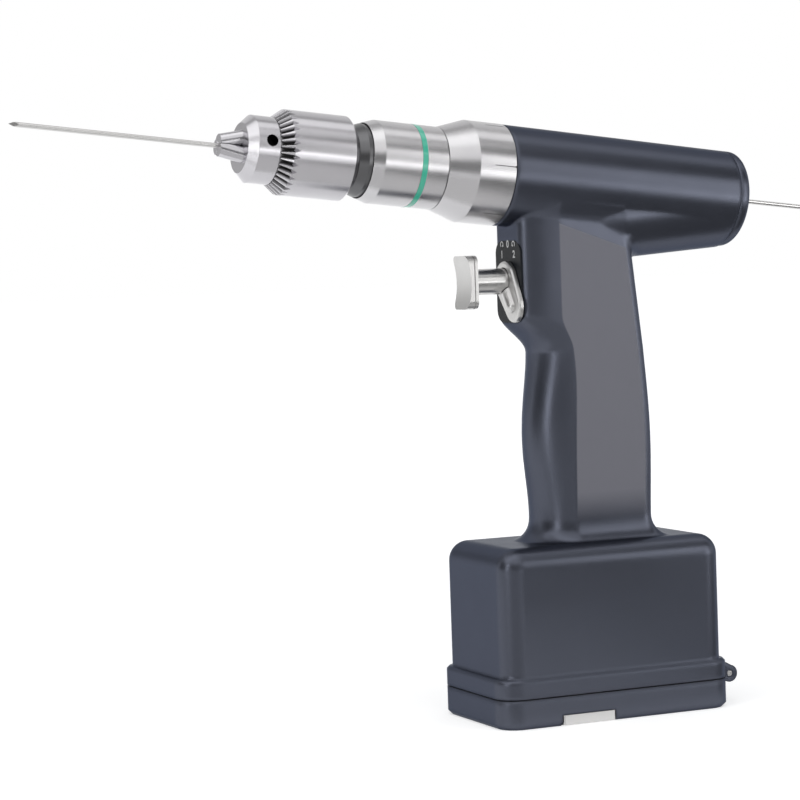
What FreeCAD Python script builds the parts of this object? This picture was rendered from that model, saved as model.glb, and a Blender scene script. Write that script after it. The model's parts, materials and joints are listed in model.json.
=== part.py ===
import FreeCAD, Part
import math
import os

V = FreeCAD.Vector

# Cannulated surgical power drill. Millimetres and degrees.
# The origin is the middle of the battery lid's underside, +Z is up and the chuck points to -X.
# Places called "station" are measured along the barrel's axis from the front end of the
# black barrel: negative towards the chuck, positive towards the tail.

# How the barrel sits on the grip
barrelTilt = 6.5
barrelX = -29.7
barrelZ = 204.9

# Clearances: a seated piece, a shaft in its bore, two parts that must not touch
seatGap = 0.02
runGap = 0.05
bodyGap = 0.3

# Guide wire and the hollow shafts that let it pass
wireRadius = 0.9
wireTip = -190.4
wireLength = 350.0
wirePointLength = 3.6
guideBore = 1.35
guideRadius = 1.8
guideFront = -10.0
cannulaRadius = 2.15

# Chuck, from its nose to the rear of its sleeve
noseFront = -104.7
noseFaceRadius = 9.2
noseConeLength = 3.1
noseRadius = 12.3
noseRear = -93.5
chuckOpening = 3.4
coreRadius = 11.8
coreRear = -63.8
keyHoleStation = -96.6
keyHoleRadius = 2.2
keyHoleDepth = 4.8
keyHoleAngle = -14.0
sleeveFront = -93.2
sleeveFrontRadius = 12.5
sleeveRadius = 15.6
sleeveRear = -63.4
sleeveChamfer = 1.9
sleeveWall = 1.7
sleeveEndWall = 4.8
bevelLength = 4.1
bevelTeeth = 36
bevelToothDepth = 1.5
bevelToothHalfWidth = 0.95

# Jaws and the threaded ring that drives them
jawCount = 3
jawTilt = 15.0
jawRadius = 3.0
jawTip = -113.0
jawLength = 27.0
jawAxisAtTip = 1.25
jawTravel = 7.9
jawSectorGap = 0.15
jawThreadPitch = 1.27
jawThreadDepth = 0.45
nutFront = -88.4
nutLength = 5.0

# Chuck adapter, the dark part that plugs into the coupling, and the spindle inside it
adapterFront = -62.6
adapterFaceRadius = 12.3
flangeCone = 3.4
flangeRadius = 13.5
flangeRear = -56.6
shankRadius = 11.6
shankRear = -33.5
shankBore = 7.6
spindleRadius = 6.0
spindleThreadFront = -78.0
spindleThreadRadius = 4.8
driveHexFront = -35.0
driveHexRear = -28.5
driveHexFlat = 3.4
bearingOuter = 9.5
bearingWidth = 5.0

# Coupling tube, turning collar and front ring
tubeFront = -52.5
tubeRear = -32.2
tubeWall = 1.4
collarFront = -57.6
collarGap = 0.3
collarRadius = 15.4
collarFaceRadius = 14.1
collarConeLength = 4.0
collarTurn = 30.0
clipWidth = 1.0
clipHeight = 0.9
bandStation = -37.8
bandWidth = 2.1
bandDepth = 0.8
ballRadius = 1.5
ballStation = -44.5
ballCount = 3
ringNeck = -28.0
ringConeRear = -17.2
ringRadius = 19.1
ringChamfer = 0.6
ringSpigot = 8.0
ringSeatWall = 0.9

# Gear stage
gearModule = 0.75
sunTeeth = 12
planetTeeth = 12
planetCount = 3
gearFront = -12.5
gearFaceWidth = 9.0
gearBacklash = 0.4
gearAddendum = 0.75
gearDedendum = 1.15
carrierPlate = 3.0
carrierGap = 0.5
carrierPost = 1.9
planetPinRadius = 1.5
outputBearingFront = -22.6

# Barrel and its tail cap
castingFront = -2.0
barrelRadius = 19.0
barrelTailRadius = 18.4
barrelWall = 2.2
capThickness = 4.6
capRound = 2.6
capSpigot = 6.0
capSpigotWall = 2.5
capBossRadius = 5.0
spannerHoleRadius = 1.6
spannerHoleCircle = 11.0
spannerHoleDepth = 2.5
tailSealWidth = 1.6
tailRoom = 3.8
bellyFront = 28.0
bellyFrontRadius = 14.2
bellyFull = 46.0
bellyStart = 36.0
bellyDrop = 13.2
bellyTail = 2.4
bellyRadius = 16.4

# Motor
statorFront = 22.0
statorLength = 40.0
statorBore = 10.6
statorSlots = 9
slotRadius = 1.9
slotMouth = 1.0
windingGap = 0.15
endTurnLength = 5.0
rotorShaftRadius = 4.0
magnetWall = 2.4
airGap = 0.6
plateThickness = 5.0
motorBearingOuter = 8.0
motorBearingWidth = 4.0
frontPlateGap = 1.0
rearPlateGap = 4.85
rotorTail = 3.0
sensorBoardGap = 3.0
sensorBoardThickness = 1.6

# Grip
gripHalfWidth = 15.0
gripBackCorner = 4.5
gripHigh = 196.0
gripFootSide = 4.4
gripFootEnd = 9.0
gripFootHeight = 8.0
gripFootDip = 0.3
neckFillet = 20.0
neckDip = 0.1
neckSteps = 5
neckFade = -2.0
neckFadeHalfWidth = 15.7
bellySlices = 9
trimReach = 80.0
heelRadius = 8.0
heelEdgeRadius = 4.0
heelDip = 0.25
heelSlices = 9
creaseAngle = 8.0
channelFront = -10.0
channelRear = 16.0
channelHalfWidth = 9.5
channelCorner = 3.0

# Snout on the front of the grip, which carries the trigger
snoutFront = -27.5
snoutSwell = 0.9
snoutSquareness = 0.9
chinLow = 138.0
chinHigh = 152.0
chinSections = 8

# Trigger and selector, on one axis along X
triggerZ = 165.2
stemRadius = 4.9
stemTailRadius = 2.4
stemShoulder = -9.0
stemTail = 3.5
headFront = -47.8
headPlate = 3.0
headThickness = 4.6
headHeight = 20.0
headWidth = 13.0
headCorner = 3.0
headHollow = 1.7
headStep = 0.4
triggerTravel = 8.0
stopClipWidth = 0.9
stopClipHeight = 1.6
bushLength = 10.0
springWire = 0.45
springCoil = 3.5
springTurns = 5
switchFront = 5.0
switchHalfHeight = 8.0
selectorHubRadius = 7.5
selectorLobeRadius = 6.0
selectorReach = 11.5
selectorPlate = 2.0
selectorRidge = 1.8
selectorRidgeRadius = 2.6
selectorSwing = 34.0
selectorSleeveWall = 1.6
selectorSleeveLength = 6.5
selectorClipWidth = 1.0
selectorClipHeight = 0.8
labelThickness = 0.6
labelHalfWidth = 10.4
labelTop = 180.3
labelBottom = 149.5
labelCorner = 5.0

# Battery box
boxFront = -46.4
boxRear = 46.4
boxHalfWidth = 27.0
boxCorner = 7.6
boxTop = 66.5
boxTopRound = 7.5
boxWall = 2.4
boxCeiling = 4.0
boxRibs = 2
boxRibSpacing = 44.0
boxRibWidth = 3.0
rimEndStep = 2.4
rimSideStep = 1.2
rimTop = 18.6
rimSlope = 1.0
lidTop = 10.9
lidGap = 0.5
lidFloor = 2.5
lidWall = 2.2
lidEdge = 1.6
sealWidth = 1.0
sealHeight = 1.3
sealGap = 0.15

# Hinge and latches of the lid
hingeOut = 4.2
hingeRadius = 3.3
hingePinRadius = 1.25
hingeHalfLength = 18.0
hingeMiddle = 9.0
latchX = -13.7
latchLength = 22.0
latchHeight = 3.7
latchProud = 0.2
latchTravel = 1.6
latchArm = 1.3
latchArmLength = 14.0
latchTop = 15.5
latchSpringRoom = 2.1
latchSpringLength = 11.0
latchSpringHeight = 4.0
latchSpringThickness = 0.25
latchPost = 1.2
latchPostHeight = 6.0

# Battery
batteryGap = 0.6
batteryHeight = 52.2
batteryCorner = 5.0
batteryWall = 1.4
cellRadius = 9.1
cellLength = 65.0
cellGap = 0.5
cellNub = 1.2
holderThickness = 3.0
terminalWidth = 4.0
terminalLength = 10.0
terminalHeight = 0.8
terminalSpacing = 8.0
contactPinRadius = 1.0
contactBlockHeight = 4.0
contactPlug = 5.0
boardThickness = 1.6
boardTop = 150.0
chipHeight = 2.2

# Sizes that follow from the ones above
lidFloorTop = lidFloor
rimBottom = lidTop + lidGap
rimFront = boxFront - rimEndStep
rimRear = boxRear + rimEndStep
rimHalfWidth = boxHalfWidth + rimSideStep
rimCorner = boxCorner + rimSideStep
mouthHalfWidth = rimHalfWidth - lidWall
compartmentTop = boxTop - boxCeiling
footTop = boxTop + gripFootHeight
frontPlateStation = statorFront - endTurnLength - frontPlateGap - plateThickness
rearPlateStation = statorFront + statorLength + windingGap + endTurnLength + rearPlateGap
rotorRear = rearPlateStation + plateThickness + rotorTail
sensorBoardStation = rotorRear + sensorBoardGap
barrelLength = sensorBoardStation + sensorBoardThickness + tailRoom + capSpigot
bellySlope = math.degrees(math.atan2(bellyDrop - bellyTail, barrelLength - bellyStart))
hingeX = rimRear + hingeOut
hingeZ = lidTop + 0.5 * lidGap
barrelBore = barrelRadius - barrelWall
boreSeat = barrelBore - seatGap
tubeBore = shankRadius + runGap
tubeRadius = tubeBore + tubeWall
collarBore = tubeRadius + runGap
collarRear = ringNeck - collarGap
sleeveBore = coreRadius + runGap
sleeveRecess = sleeveRadius - sleeveWall
nutRear = nutFront + nutLength
nutInnerFront = jawAxisAtTip + (nutFront - jawTip) * math.tan(math.radians(jawTilt))
ringTeeth = sunTeeth + 2 * planetTeeth
sunPitch = 0.5 * gearModule * sunTeeth
planetPitch = 0.5 * gearModule * planetTeeth
ringPitch = 0.5 * gearModule * ringTeeth
planetOrbit = sunPitch + planetPitch
ringSeat = boreSeat - ringSeatWall
gearRear = gearFront + gearFaceWidth
carrierRadius = ringPitch - gearModule - bodyGap
carrierFront = gearFront - carrierGap - carrierPlate
carrierRear = gearRear + carrierGap + carrierPlate
rotorRadius = statorBore - airGap
snoutBore = stemRadius + bodyGap + selectorSleeveWall + runGap
selectorFront = snoutFront - bodyGap - selectorPlate
bushRear = snoutFront + selectorSleeveLength + bodyGap + bushLength
stemTravelEnd = stemTail + triggerTravel
latchOuter = mouthHalfWidth - bodyGap
latchInner = latchOuter - latchArm
latchPostOuter = latchInner - latchSpringRoom
batteryHalfWidth = latchPostOuter - latchPost - bodyGap
batteryFront = boxFront + boxWall + batteryGap
batteryRear = boxRear - boxWall - batteryGap
batteryBottom = lidFloorTop + bodyGap
batteryTop = batteryBottom + batteryHeight

# Outline of the grip seen from the side: height, front, back, where its flat side begins,
# and how square its nose is
gripStations = (
    (footTop, -20.2, 24.1, -9.2, 0.55),
    (88.0, -21.2, 24.5, -8.8, 0.55),
    (104.0, -22.6, 24.8, -8.4, 0.55),
    (120.0, -21.6, 24.2, -7.8, 0.55),
    (chinLow, -19.4, 22.8, -8.4, 0.55),
)
gripTopStation = (gripHigh, 16.6, -12.8)


def turned(*profile):
    """Solid of revolution about X from (station, radius) points."""
    points = [V(station, 0, radius) for station, radius in profile]
    face = Part.Face(Part.makePolygon(points + points[:1]))
    return face.revolve(V(0, 0, 0), V(1, 0, 0), 360)


def tube(start, end, outer, inner):
    return turned((start, inner), (start, outer), (end, outer), (end, inner))


def rod(start, end, radius):
    return Part.makeCylinder(radius, end - start, V(start, 0, 0), V(1, 0, 0))


def crossRod(y, low, high, radius, x, z):
    """Cylinder along Y from low to high, mirrored to the side that y's sign names."""
    start = min(y * low, y * high)
    return Part.makeCylinder(radius, high - low, V(x, start, z), V(0, 1, 0))


def spun(shape, angle):
    """Copy turned about X."""
    copy = shape.copy()
    copy.rotate(V(0, 0, 0), V(1, 0, 0), angle)
    return copy


def around(shape, count, first=0.0):
    return [spun(shape, first + 360.0 * index / count) for index in range(count)]


def ontoBarrel(shape):
    """Carries a shape from the X axis to the tilted axis of the barrel."""
    copy = shape.copy()
    copy.rotate(V(0, 0, 0), V(0, 1, 0), barrelTilt)
    copy.translate(V(barrelX, 0, barrelZ))
    return copy


def ontoTrigger(shape):
    """Carries a shape from the X axis to the trigger's axis."""
    copy = shape.copy()
    copy.translate(V(0, 0, triggerZ))
    return copy


def coil(start, end, turns, coilRadius, wire):
    """Helical spring along X."""
    length = end - start - 2.0 * wire
    path = Part.makeHelix(length / turns, length, coilRadius)
    ring = Part.Wire(Part.makeCircle(wire, V(coilRadius, 0, 0), V(0, 1, 0)))
    spring = Part.Wire(path).makePipeShell([ring], True, True)
    spring.rotate(V(0, 0, 0), V(0, 1, 0), 90)
    spring.translate(V(start + wire, 0, 0))
    return spring


def roundedPlan(front, rear, halfWidth, corner, height):
    """Closed wire of a rectangle with round corners, lying flat."""
    middle = corner * (1.0 - math.sqrt(0.5))
    turns = ((rear, halfWidth, 1, 1), (front, halfWidth, -1, 1),
             (front, -halfWidth, -1, -1), (rear, -halfWidth, 1, -1))
    arcs = []
    for x, y, sx, sy in turns:
        ends = [V(x, y - sy * corner, height), V(x - sx * corner, y, height)]
        if sx * sy < 0:
            ends.reverse()
        centre = V(x - sx * middle, y - sy * middle, height)
        arcs.append((ends[0], centre, ends[1]))
    edges = []
    for index, (start, centre, end) in enumerate(arcs):
        edges.append(Part.Arc(start, centre, end).toShape())
        edges.append(Part.makeLine(end, arcs[(index + 1) % 4][0]))
    return Part.Wire(edges)


def roundedBlock(front, rear, halfWidth, corner, low, high):
    face = Part.Face(roundedPlan(front, rear, halfWidth, corner, low))
    return face.extrude(V(0, 0, high - low))


def uprightBlock(start, end, halfWidth, halfHeight, corner):
    """Block along X whose cross-section is a rectangle with round corners."""
    block = roundedBlock(-halfHeight, halfHeight, halfWidth, corner, start, end)
    block.rotate(V(0, 0, 0), V(0, 1, 0), 90)
    return block


def edgesAtHeight(shape, height):
    """Edges that lie wholly at one height."""
    found = []
    for edge in shape.Edges:
        box = edge.BoundBox
        if abs(box.ZMin - height) < 1e-4 and abs(box.ZMax - height) < 1e-4:
            found.append(edge)
    return found


# Housing: barrel, grip and battery box in one casting

def gripSection(height, front, back, crease, square, side=gripHalfWidth, corner=gripBackCorner):
    """Level section of the grip: a round nose, two flat sides and a back with round corners."""
    nose = crease - front
    shoulder = side - math.tan(math.radians(creaseAngle)) * square * nose
    quarters = []
    for sign in (-1, 1):
        poles = [V(crease, sign * side, height), V(crease - square * nose, sign * shoulder, height),
                 V(front, sign * square * shoulder, height), V(front, 0, height)]
        if sign > 0:
            poles.reverse()
        curve = Part.BezierCurve()
        curve.setPoles(poles)
        quarters.append(curve.toShape())
    bulge = math.sqrt(0.5) * corner
    straight = back - corner
    flat = side - corner
    left = Part.makeLine(V(crease, side, height), V(straight, side, height))
    leftArc = Part.Arc(V(straight, side, height), V(straight + bulge, flat + bulge, height),
                       V(back, flat, height)).toShape()
    rear = Part.Arc(V(back, flat, height), V(back + 0.8, 0, height), V(back, -flat, height)).toShape()
    rightArc = Part.Arc(V(back, -flat, height), V(straight + bulge, -flat - bulge, height),
                        V(straight, -side, height)).toShape()
    right = Part.makeLine(V(straight, -side, height), V(crease, -side, height))
    return Part.Wire([quarters[0], quarters[1], left, leftArc, rear, rightArc, right])


def gripFoot():
    """Flare of the grip where it runs into the box."""
    height, front, back, crease, square = gripStations[0]
    sections = []
    drop = gripFootHeight + gripFootDip
    for step in range(5):
        turn = math.radians(22.5 * step)
        spread = 1.0 - math.cos(turn)
        level = footTop - drop * math.sin(turn)
        ends = gripFootEnd * spread
        side = gripHalfWidth + gripFootSide * spread
        corner = gripBackCorner + gripFootSide * spread
        sections.append(gripSection(level, front - ends, back + ends, crease, square, side, corner))
    return Part.makeLoft(sections, True, False)


def backLine():
    """Height, place and lean of the straight back of the upper grip."""
    height, front, back, crease, square = gripStations[-1]
    topHeight, topBack, topCrease = gripTopStation
    return height, back, (topBack - back) / (topHeight - height)


def ontoBelly(shape):
    """Carries a shape from the X axis to the axis of the belly, with x = 0 at its start."""
    copy = shape.copy()
    copy.rotate(V(0, 0, 0), V(0, 1, 0), -bellySlope)
    copy.translate(V(bellyStart, 0, -bellyDrop))
    return ontoBarrel(copy)


def gripHeel():
    """Web that rounds the corner between the back of the grip and the belly, in upright slices."""
    height, back, lean = backLine()
    tilt = math.radians(barrelTilt)
    rise = math.radians(bellySlope - barrelTilt)
    startX = barrelX + bellyStart * math.cos(tilt) - bellyDrop * math.sin(tilt)
    startZ = barrelZ - bellyStart * math.sin(tilt) - bellyDrop * math.cos(tilt)
    slices = []
    edge = gripHalfWidth - 0.2
    for step in range(heelSlices):
        y = edge * (2.0 * step / (heelSlices - 1.0) - 1.0)
        radius = heelRadius + (heelEdgeRadius - heelRadius) * (y / edge) ** 2
        under = startZ - math.sqrt(bellyRadius ** 2 - y ** 2) / math.cos(rise)
        inset = max(abs(y) - gripHalfWidth + gripBackCorner, 0.0)
        rounded = gripBackCorner - math.sqrt(gripBackCorner ** 2 - inset ** 2)
        level = under + (back - startX) * math.tan(rise) - radius
        wall = back + lean * (level - height) - rounded
        x = wall + radius - heelDip
        z = under + (x - startX) * math.tan(rise) - radius + heelDip
        diagonal = radius * math.sqrt(0.5)
        low = V(x - radius, y, z)
        middle = V(x - diagonal, y, z + diagonal)
        high = V(x, y, z + radius)
        inside = [V(x, y, z + radius + 2.0), V(x - radius - 2.0, y, z + radius + 2.0),
                  V(x - radius - 2.0, y, z)]
        edges = [Part.Arc(low, middle, high).toShape()]
        for start, end in zip([high] + inside, inside + [low]):
            edges.append(Part.makeLine(start, end))
        slices.append(Part.Wire(edges))
    return Part.makeLoft(slices, True, False)


def neckFlare(radius, angle, axisX, axisZ):
    """Hollow flare that rounds the grip's sides into a cylinder that crosses the grip's top."""
    height, back, lean = backLine()
    tilt = math.radians(angle)
    reach = (radius + neckFillet) ** 2 - (gripHalfWidth + neckFillet) ** 2
    start = math.sqrt(reach)
    end = start * radius / (radius + neckFillet)
    depths = [start - (start - end) * step / (neckSteps - 1.0) for step in range(neckSteps)]
    sections = []
    for depth in [start + 1.0] + depths + [end - 2.5]:
        rise = min(max(start - depth, 0.0), start - end)
        offset = neckFillet - math.sqrt(neckFillet ** 2 - rise ** 2) - neckDip
        level = axisZ - depth * math.cos(tilt) - height
        shift = depth * math.sin(tilt) - axisX
        rear = (back + shift + lean * level) / (math.cos(tilt) + lean * math.sin(tilt))
        ahead = (snoutFront - snoutSwell + shift) / math.cos(tilt)
        crease = (gripTopStation[2] + shift) / math.cos(tilt)
        sections.append(gripSection(-depth, ahead, rear + offset, crease, snoutSquareness,
                                    gripHalfWidth + offset, gripBackCorner + offset))
    neck = Part.makeLoft(sections, True, True)
    neck.rotate(V(0, 0, 0), V(0, 1, 0), angle)
    neck.translate(V(axisX, 0, axisZ))
    ahead = Part.makeBox(trimReach, trimReach, trimReach,
                         V(snoutFront - trimReach, -0.5 * trimReach, axisZ - 0.75 * trimReach))
    return neck.cut(ahead)


def bellyAt(x):
    """Height of the belly's axis and its radius, where it crosses an upright plane at x."""
    tilt = math.radians(barrelTilt)
    slope = math.tan(math.radians(bellySlope))
    deepest = bellyDrop + bellyStart * slope
    station = (x - barrelX + deepest * math.sin(tilt)) / (math.cos(tilt) + slope * math.sin(tilt))
    drop = deepest - station * slope
    growth = (station - bellyFront) / (bellyFull - bellyFront)
    radius = bellyFrontRadius + (bellyRadius - bellyFrontRadius) * min(growth, 1.0)
    return barrelZ - station * math.sin(tilt) - drop * math.cos(tilt), radius


def bellyFlare():
    """Hollow flare between the grip's sides and the belly, which grows from nothing with the belly."""
    height, back, lean = backLine()
    centre, radius = bellyAt(back)
    rear = back + lean * (centre - 0.5 * radius - height)
    slices = []
    for step in range(bellySlices):
        fraction = step / (bellySlices - 1.0)
        x = 4.0 + (rear - 0.4 - 4.0) * math.sin(0.5 * math.pi * fraction)
        inset = max(x - rear + gripBackCorner, 0.0)
        rounded = gripBackCorner - math.sqrt(gripBackCorner ** 2 - inset ** 2)
        centre, radius = bellyAt(x)
        reach = (radius + neckFillet) ** 2 - (gripHalfWidth + neckFillet) ** 2
        start = math.sqrt(max(reach, 0.01))
        end = start * radius / (radius + neckFillet)
        side = [(gripHalfWidth - neckDip - rounded, centre - start - 1.0)]
        for part in range(neckSteps):
            rise = (start - end) * part / (neckSteps - 1.0)
            offset = neckFillet - math.sqrt(neckFillet ** 2 - rise ** 2) - neckDip
            side.append((gripHalfWidth + offset - rounded, centre - start + rise))
        side.append((side[-1][0] - 0.5, centre - end + 1.5))
        near = [V(x, -y, z) for y, z in side]
        far = [V(x, y, z) for y, z in reversed(side)]
        nearCurve = Part.BSplineCurve()
        nearCurve.interpolate(near)
        farCurve = Part.BSplineCurve()
        farCurve.interpolate(far)
        slices.append(Part.Wire([nearCurve.toShape(), Part.makeLine(near[-1], far[0]), farCurve.toShape(),
                                 Part.makeLine(far[-1], near[0])]))
    return Part.makeLoft(slices, True, False)


def gripNeck():
    """Flare under the barrel, which fades towards the back, and the lower one that meets the belly."""
    flare = neckFlare(barrelRadius, barrelTilt, barrelX, barrelZ)
    height, back, lean = backLine()
    wide = barrelRadius
    plan = [V(-trimReach, -wide, 0), V(neckFade, -wide, 0), V(back, -neckFadeHalfWidth, 0),
            V(trimReach, -neckFadeHalfWidth, 0), V(trimReach, neckFadeHalfWidth, 0),
            V(back, neckFadeHalfWidth, 0), V(neckFade, wide, 0), V(-trimReach, wide, 0)]
    fade = Part.Face(Part.makePolygon(plan + plan[:1])).extrude(V(0, 0, 4.0 * trimReach))
    return [flare.common(fade), bellyFlare()]


def snoutSections():
    """Level sections from the round front of the grip up to the flat-faced snout."""
    height, front, back, crease, square = gripStations[-1]
    topHeight, topBack, topCrease = gripTopStation
    sections = []
    for step in range(chinSections):
        level = chinLow + (chinHigh - chinLow) * step / (chinSections - 1.0)
        part = step / (chinSections - 1.0)
        blend = part * part * (3.0 - 2.0 * part)
        rise = (level - height) / (topHeight - height)
        nose = front + blend * (snoutFront - snoutSwell - front)
        sections.append(gripSection(level, nose, back + rise * (topBack - back),
                                    crease + blend * (topCrease - crease),
                                    square + blend * (snoutSquareness - square)))
    return sections


def gripOuter():
    topHeight, topBack, topCrease = gripTopStation
    lower = Part.makeLoft([gripSection(*station) for station in gripStations], True, False)
    chin = snoutSections()
    top = gripSection(topHeight, snoutFront - snoutSwell, topBack, topCrease, snoutSquareness)
    upper = Part.makeLoft([chin[-1], top], True, True)
    middle = Part.makeLoft(chin, True, False)
    ahead = Part.makeBox(trimReach, trimReach, trimReach, V(snoutFront - trimReach, -0.5 * trimReach, chinLow))
    return [lower, middle.cut(ahead), upper.cut(ahead)]


def batteryBoxOuter():
    block = roundedBlock(boxFront, boxRear, boxHalfWidth, boxCorner, rimTop - 4.0, boxTop)
    block = block.makeFillet(min(boxTopRound, boxCorner - 0.1), edgesAtHeight(block, boxTop))
    rim = roundedBlock(rimFront, rimRear, rimHalfWidth, rimCorner, rimBottom, rimTop)
    rim = rim.makeChamfer(rimSlope, edgesAtHeight(rim, rimTop))
    return [block, rim]


def barrelOuter():
    barrel = turned((castingFront, 0), (castingFront, barrelRadius), (barrelLength, barrelTailRadius),
                    (barrelLength, 0))
    front = bellyFront - bellyStart
    full = bellyFull - bellyStart
    rear = barrelLength - bellyStart + 8.0
    belly = turned((front, 0), (front, bellyFrontRadius), (full, bellyRadius), (rear, bellyRadius), (rear, 0))
    keep = ontoBarrel(rod(0.0, barrelLength, 3.0 * barrelRadius))
    return [ontoBarrel(barrel), ontoBelly(belly).common(keep)]


def knuckle(low, high, side, anchorTop, anchorBottom):
    """Hinge knuckle along Y with its web to the rim or to the lid."""
    eye = crossRod(side, low, high, hingeRadius, hingeX, hingeZ)
    tip = hingeX + 0.55 * hingeRadius
    reach = 0.8 * hingeRadius * (1 if anchorTop > hingeZ else -1)
    start = min(side * low, side * high)
    points = [V(rimRear - 1.0, start, anchorBottom), V(rimRear - 1.0, start, anchorTop),
              V(tip, start, hingeZ + reach), V(hingeX - 0.5 * hingeRadius, start, hingeZ)]
    web = Part.Face(Part.makePolygon(points + points[:1])).extrude(V(0, high - low, 0))
    return eye.fuse(web)


def hingeBore():
    return Part.makeCylinder(hingePinRadius + runGap, 4.0 * hingeHalfLength,
                             V(hingeX, -2.0 * hingeHalfLength, hingeZ), V(0, 1, 0))


def housing():
    shells = gripOuter() + [gripFoot(), gripHeel()] + gripNeck() + batteryBoxOuter() + barrelOuter()
    for side in (-1, 1):
        shells.append(knuckle(hingeMiddle, hingeHalfLength, side, rimTop - rimSlope, rimBottom + 0.1))
    outer = shells[0].fuse(shells[1:])
    compartment = roundedBlock(boxFront + boxWall, boxRear - boxWall, boxHalfWidth - boxWall,
                               boxCorner - boxWall, rimBottom - 1.0, compartmentTop)
    ribDepth = boxHalfWidth - boxWall - batteryHalfWidth - bodyGap
    for index in range(boxRibs):
        for side in (-1, 1):
            x = boxRibSpacing * (index - 0.5 * (boxRibs - 1)) - 0.5 * boxRibWidth
            y = side * (boxHalfWidth - boxWall) - (ribDepth if side > 0 else 0.0)
            rib = Part.makeBox(boxRibWidth, ribDepth, compartmentTop, V(x, y, rimTop))
            compartment = compartment.cut(rib)
    mouth = roundedBlock(rimFront + boxWall, rimRear - boxWall, mouthHalfWidth,
                         rimCorner - lidWall, rimBottom - 1.0, rimTop - rimSlope - 1.0)
    channel = roundedBlock(channelFront, channelRear, channelHalfWidth, channelCorner,
                           compartmentTop - 1.0, gripHigh - 4.0)
    label = labelBlock(labelThickness + seatGap, seatGap)
    snoutHole = ontoTrigger(rod(snoutFront - 1.0, channelFront + 1.0, snoutBore))
    clipSeat = ontoTrigger(rod(selectorClipStation() - bodyGap,
                               selectorClipStation() + selectorClipWidth + bodyGap,
                               snoutBore + selectorClipHeight + bodyGap))
    bore = ontoBarrel(rod(castingFront - 1.0, barrelLength + 1.0, barrelBore))
    return outer.cut([compartment, mouth, channel, label, snoutHole, clipSeat, bore, hingeBore()])


def labelBlock(depth, grow=0.0):
    """Round-cornered panel let into the front face of the snout."""
    halfHeight = 0.5 * (labelTop - labelBottom) + grow
    block = uprightBlock(snoutFront, snoutFront + depth, labelHalfWidth + grow, halfHeight, labelCorner)
    block.translate(V(0, 0, 0.5 * (labelTop + labelBottom)))
    return block


def labelPlate():
    return labelBlock(labelThickness).cut(ontoTrigger(rod(snoutFront - 1.0, snoutFront + 2.0, snoutBore)))


def rearCap():
    end = barrelLength + capThickness
    boreRadius = guideRadius + seatGap
    cap = turned((barrelLength - capSpigot, boreSeat - capSpigotWall), (barrelLength - capSpigot, boreSeat),
                 (barrelLength, boreSeat), (barrelLength, barrelTailRadius), (end, barrelTailRadius),
                 (end, boreRadius), (barrelLength - capSpigot, boreRadius),
                 (barrelLength - capSpigot, capBossRadius), (barrelLength, capBossRadius),
                 (barrelLength, boreSeat - capSpigotWall))
    rims = [edge for edge in cap.Edges
            if abs(edge.BoundBox.XMin - end) < 1e-4 and edge.BoundBox.ZMax > barrelTailRadius - 0.01]
    cap = cap.makeFillet(capRound, rims)
    hole = Part.makeCylinder(spannerHoleRadius, spannerHoleDepth + 1.0,
                             V(end - spannerHoleDepth, spannerHoleCircle, 0), V(1, 0, 0))
    groove = tube(barrelLength - 0.5 * capSpigot - 0.5 * tailSealWidth,
                  barrelLength - 0.5 * capSpigot + 0.5 * tailSealWidth, boreSeat + 1.0,
                  boreSeat - tailSealWidth)
    return ontoBarrel(cap.cut(around(hole, 2) + [groove]))


def tailSeal():
    middle = barrelLength - 0.5 * capSpigot
    half = 0.5 * tailSealWidth - seatGap
    return ontoBarrel(tube(middle - half, middle + half, boreSeat, boreSeat - tailSealWidth + seatGap))


# Front ring and coupling

def frontRing():
    """Gear case: the coupling tube, the flared cone, the wide ring and the spigot into the barrel."""
    bearingSeat = bearingOuter + seatGap
    ring = turned((tubeFront, tubeBore), (tubeFront, tubeRadius), (ringNeck, tubeRadius),
                  (ringNeck, collarRadius), (ringConeRear, ringRadius), (castingFront - ringChamfer, ringRadius),
                  (castingFront, ringRadius - ringChamfer), (castingFront, boreSeat), (ringSpigot, boreSeat),
                  (ringSpigot, ringSeat), (gearFront - bodyGap, ringSeat),
                  (gearFront - bodyGap, carrierRadius + 3.0 * bodyGap),
                  (carrierFront - carrierGap, carrierRadius + 3.0 * bodyGap),
                  (carrierFront - carrierGap, bearingSeat), (outputBearingFront, bearingSeat),
                  (outputBearingFront, shankBore), (tubeRear, shankBore), (tubeRear, tubeBore))
    hole = Part.makeCylinder(ballRadius + runGap, 2.0 * tubeRadius, V(ballStation, 0, 0), V(0, 0, 1))
    groove = tube(tubeFront + clipWidth, tubeFront + 2.0 * clipWidth, tubeRadius + 1.0,
                  tubeRadius - 0.5 * clipHeight)
    return ontoBarrel(ring.cut(around(hole, ballCount, 30.0) + [groove]))


def collarClip():
    """Open spring ring that keeps the collar on the tube."""
    start = tubeFront + clipWidth + seatGap
    ring = tube(start, tubeFront + 2.0 * clipWidth - seatGap, tubeRadius + 0.5 * clipHeight,
                tubeRadius - 0.5 * clipHeight + seatGap)
    mouth = Part.makeBox(3.0 * clipWidth, 3.0, 2.0 * tubeRadius, V(start - clipWidth, -1.5, 0))
    return ontoBarrel(ring.cut(mouth))


def lockBalls():
    """Three balls in the tube that hold the adapter's shank."""
    ball = Part.makeSphere(ballRadius, V(ballStation, 0, ballOrbit()))
    return Part.Compound([ontoBarrel(item) for item in around(ball, ballCount, 30.0)])


def ballOrbit():
    return tubeBore + 0.5 * tubeWall


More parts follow.
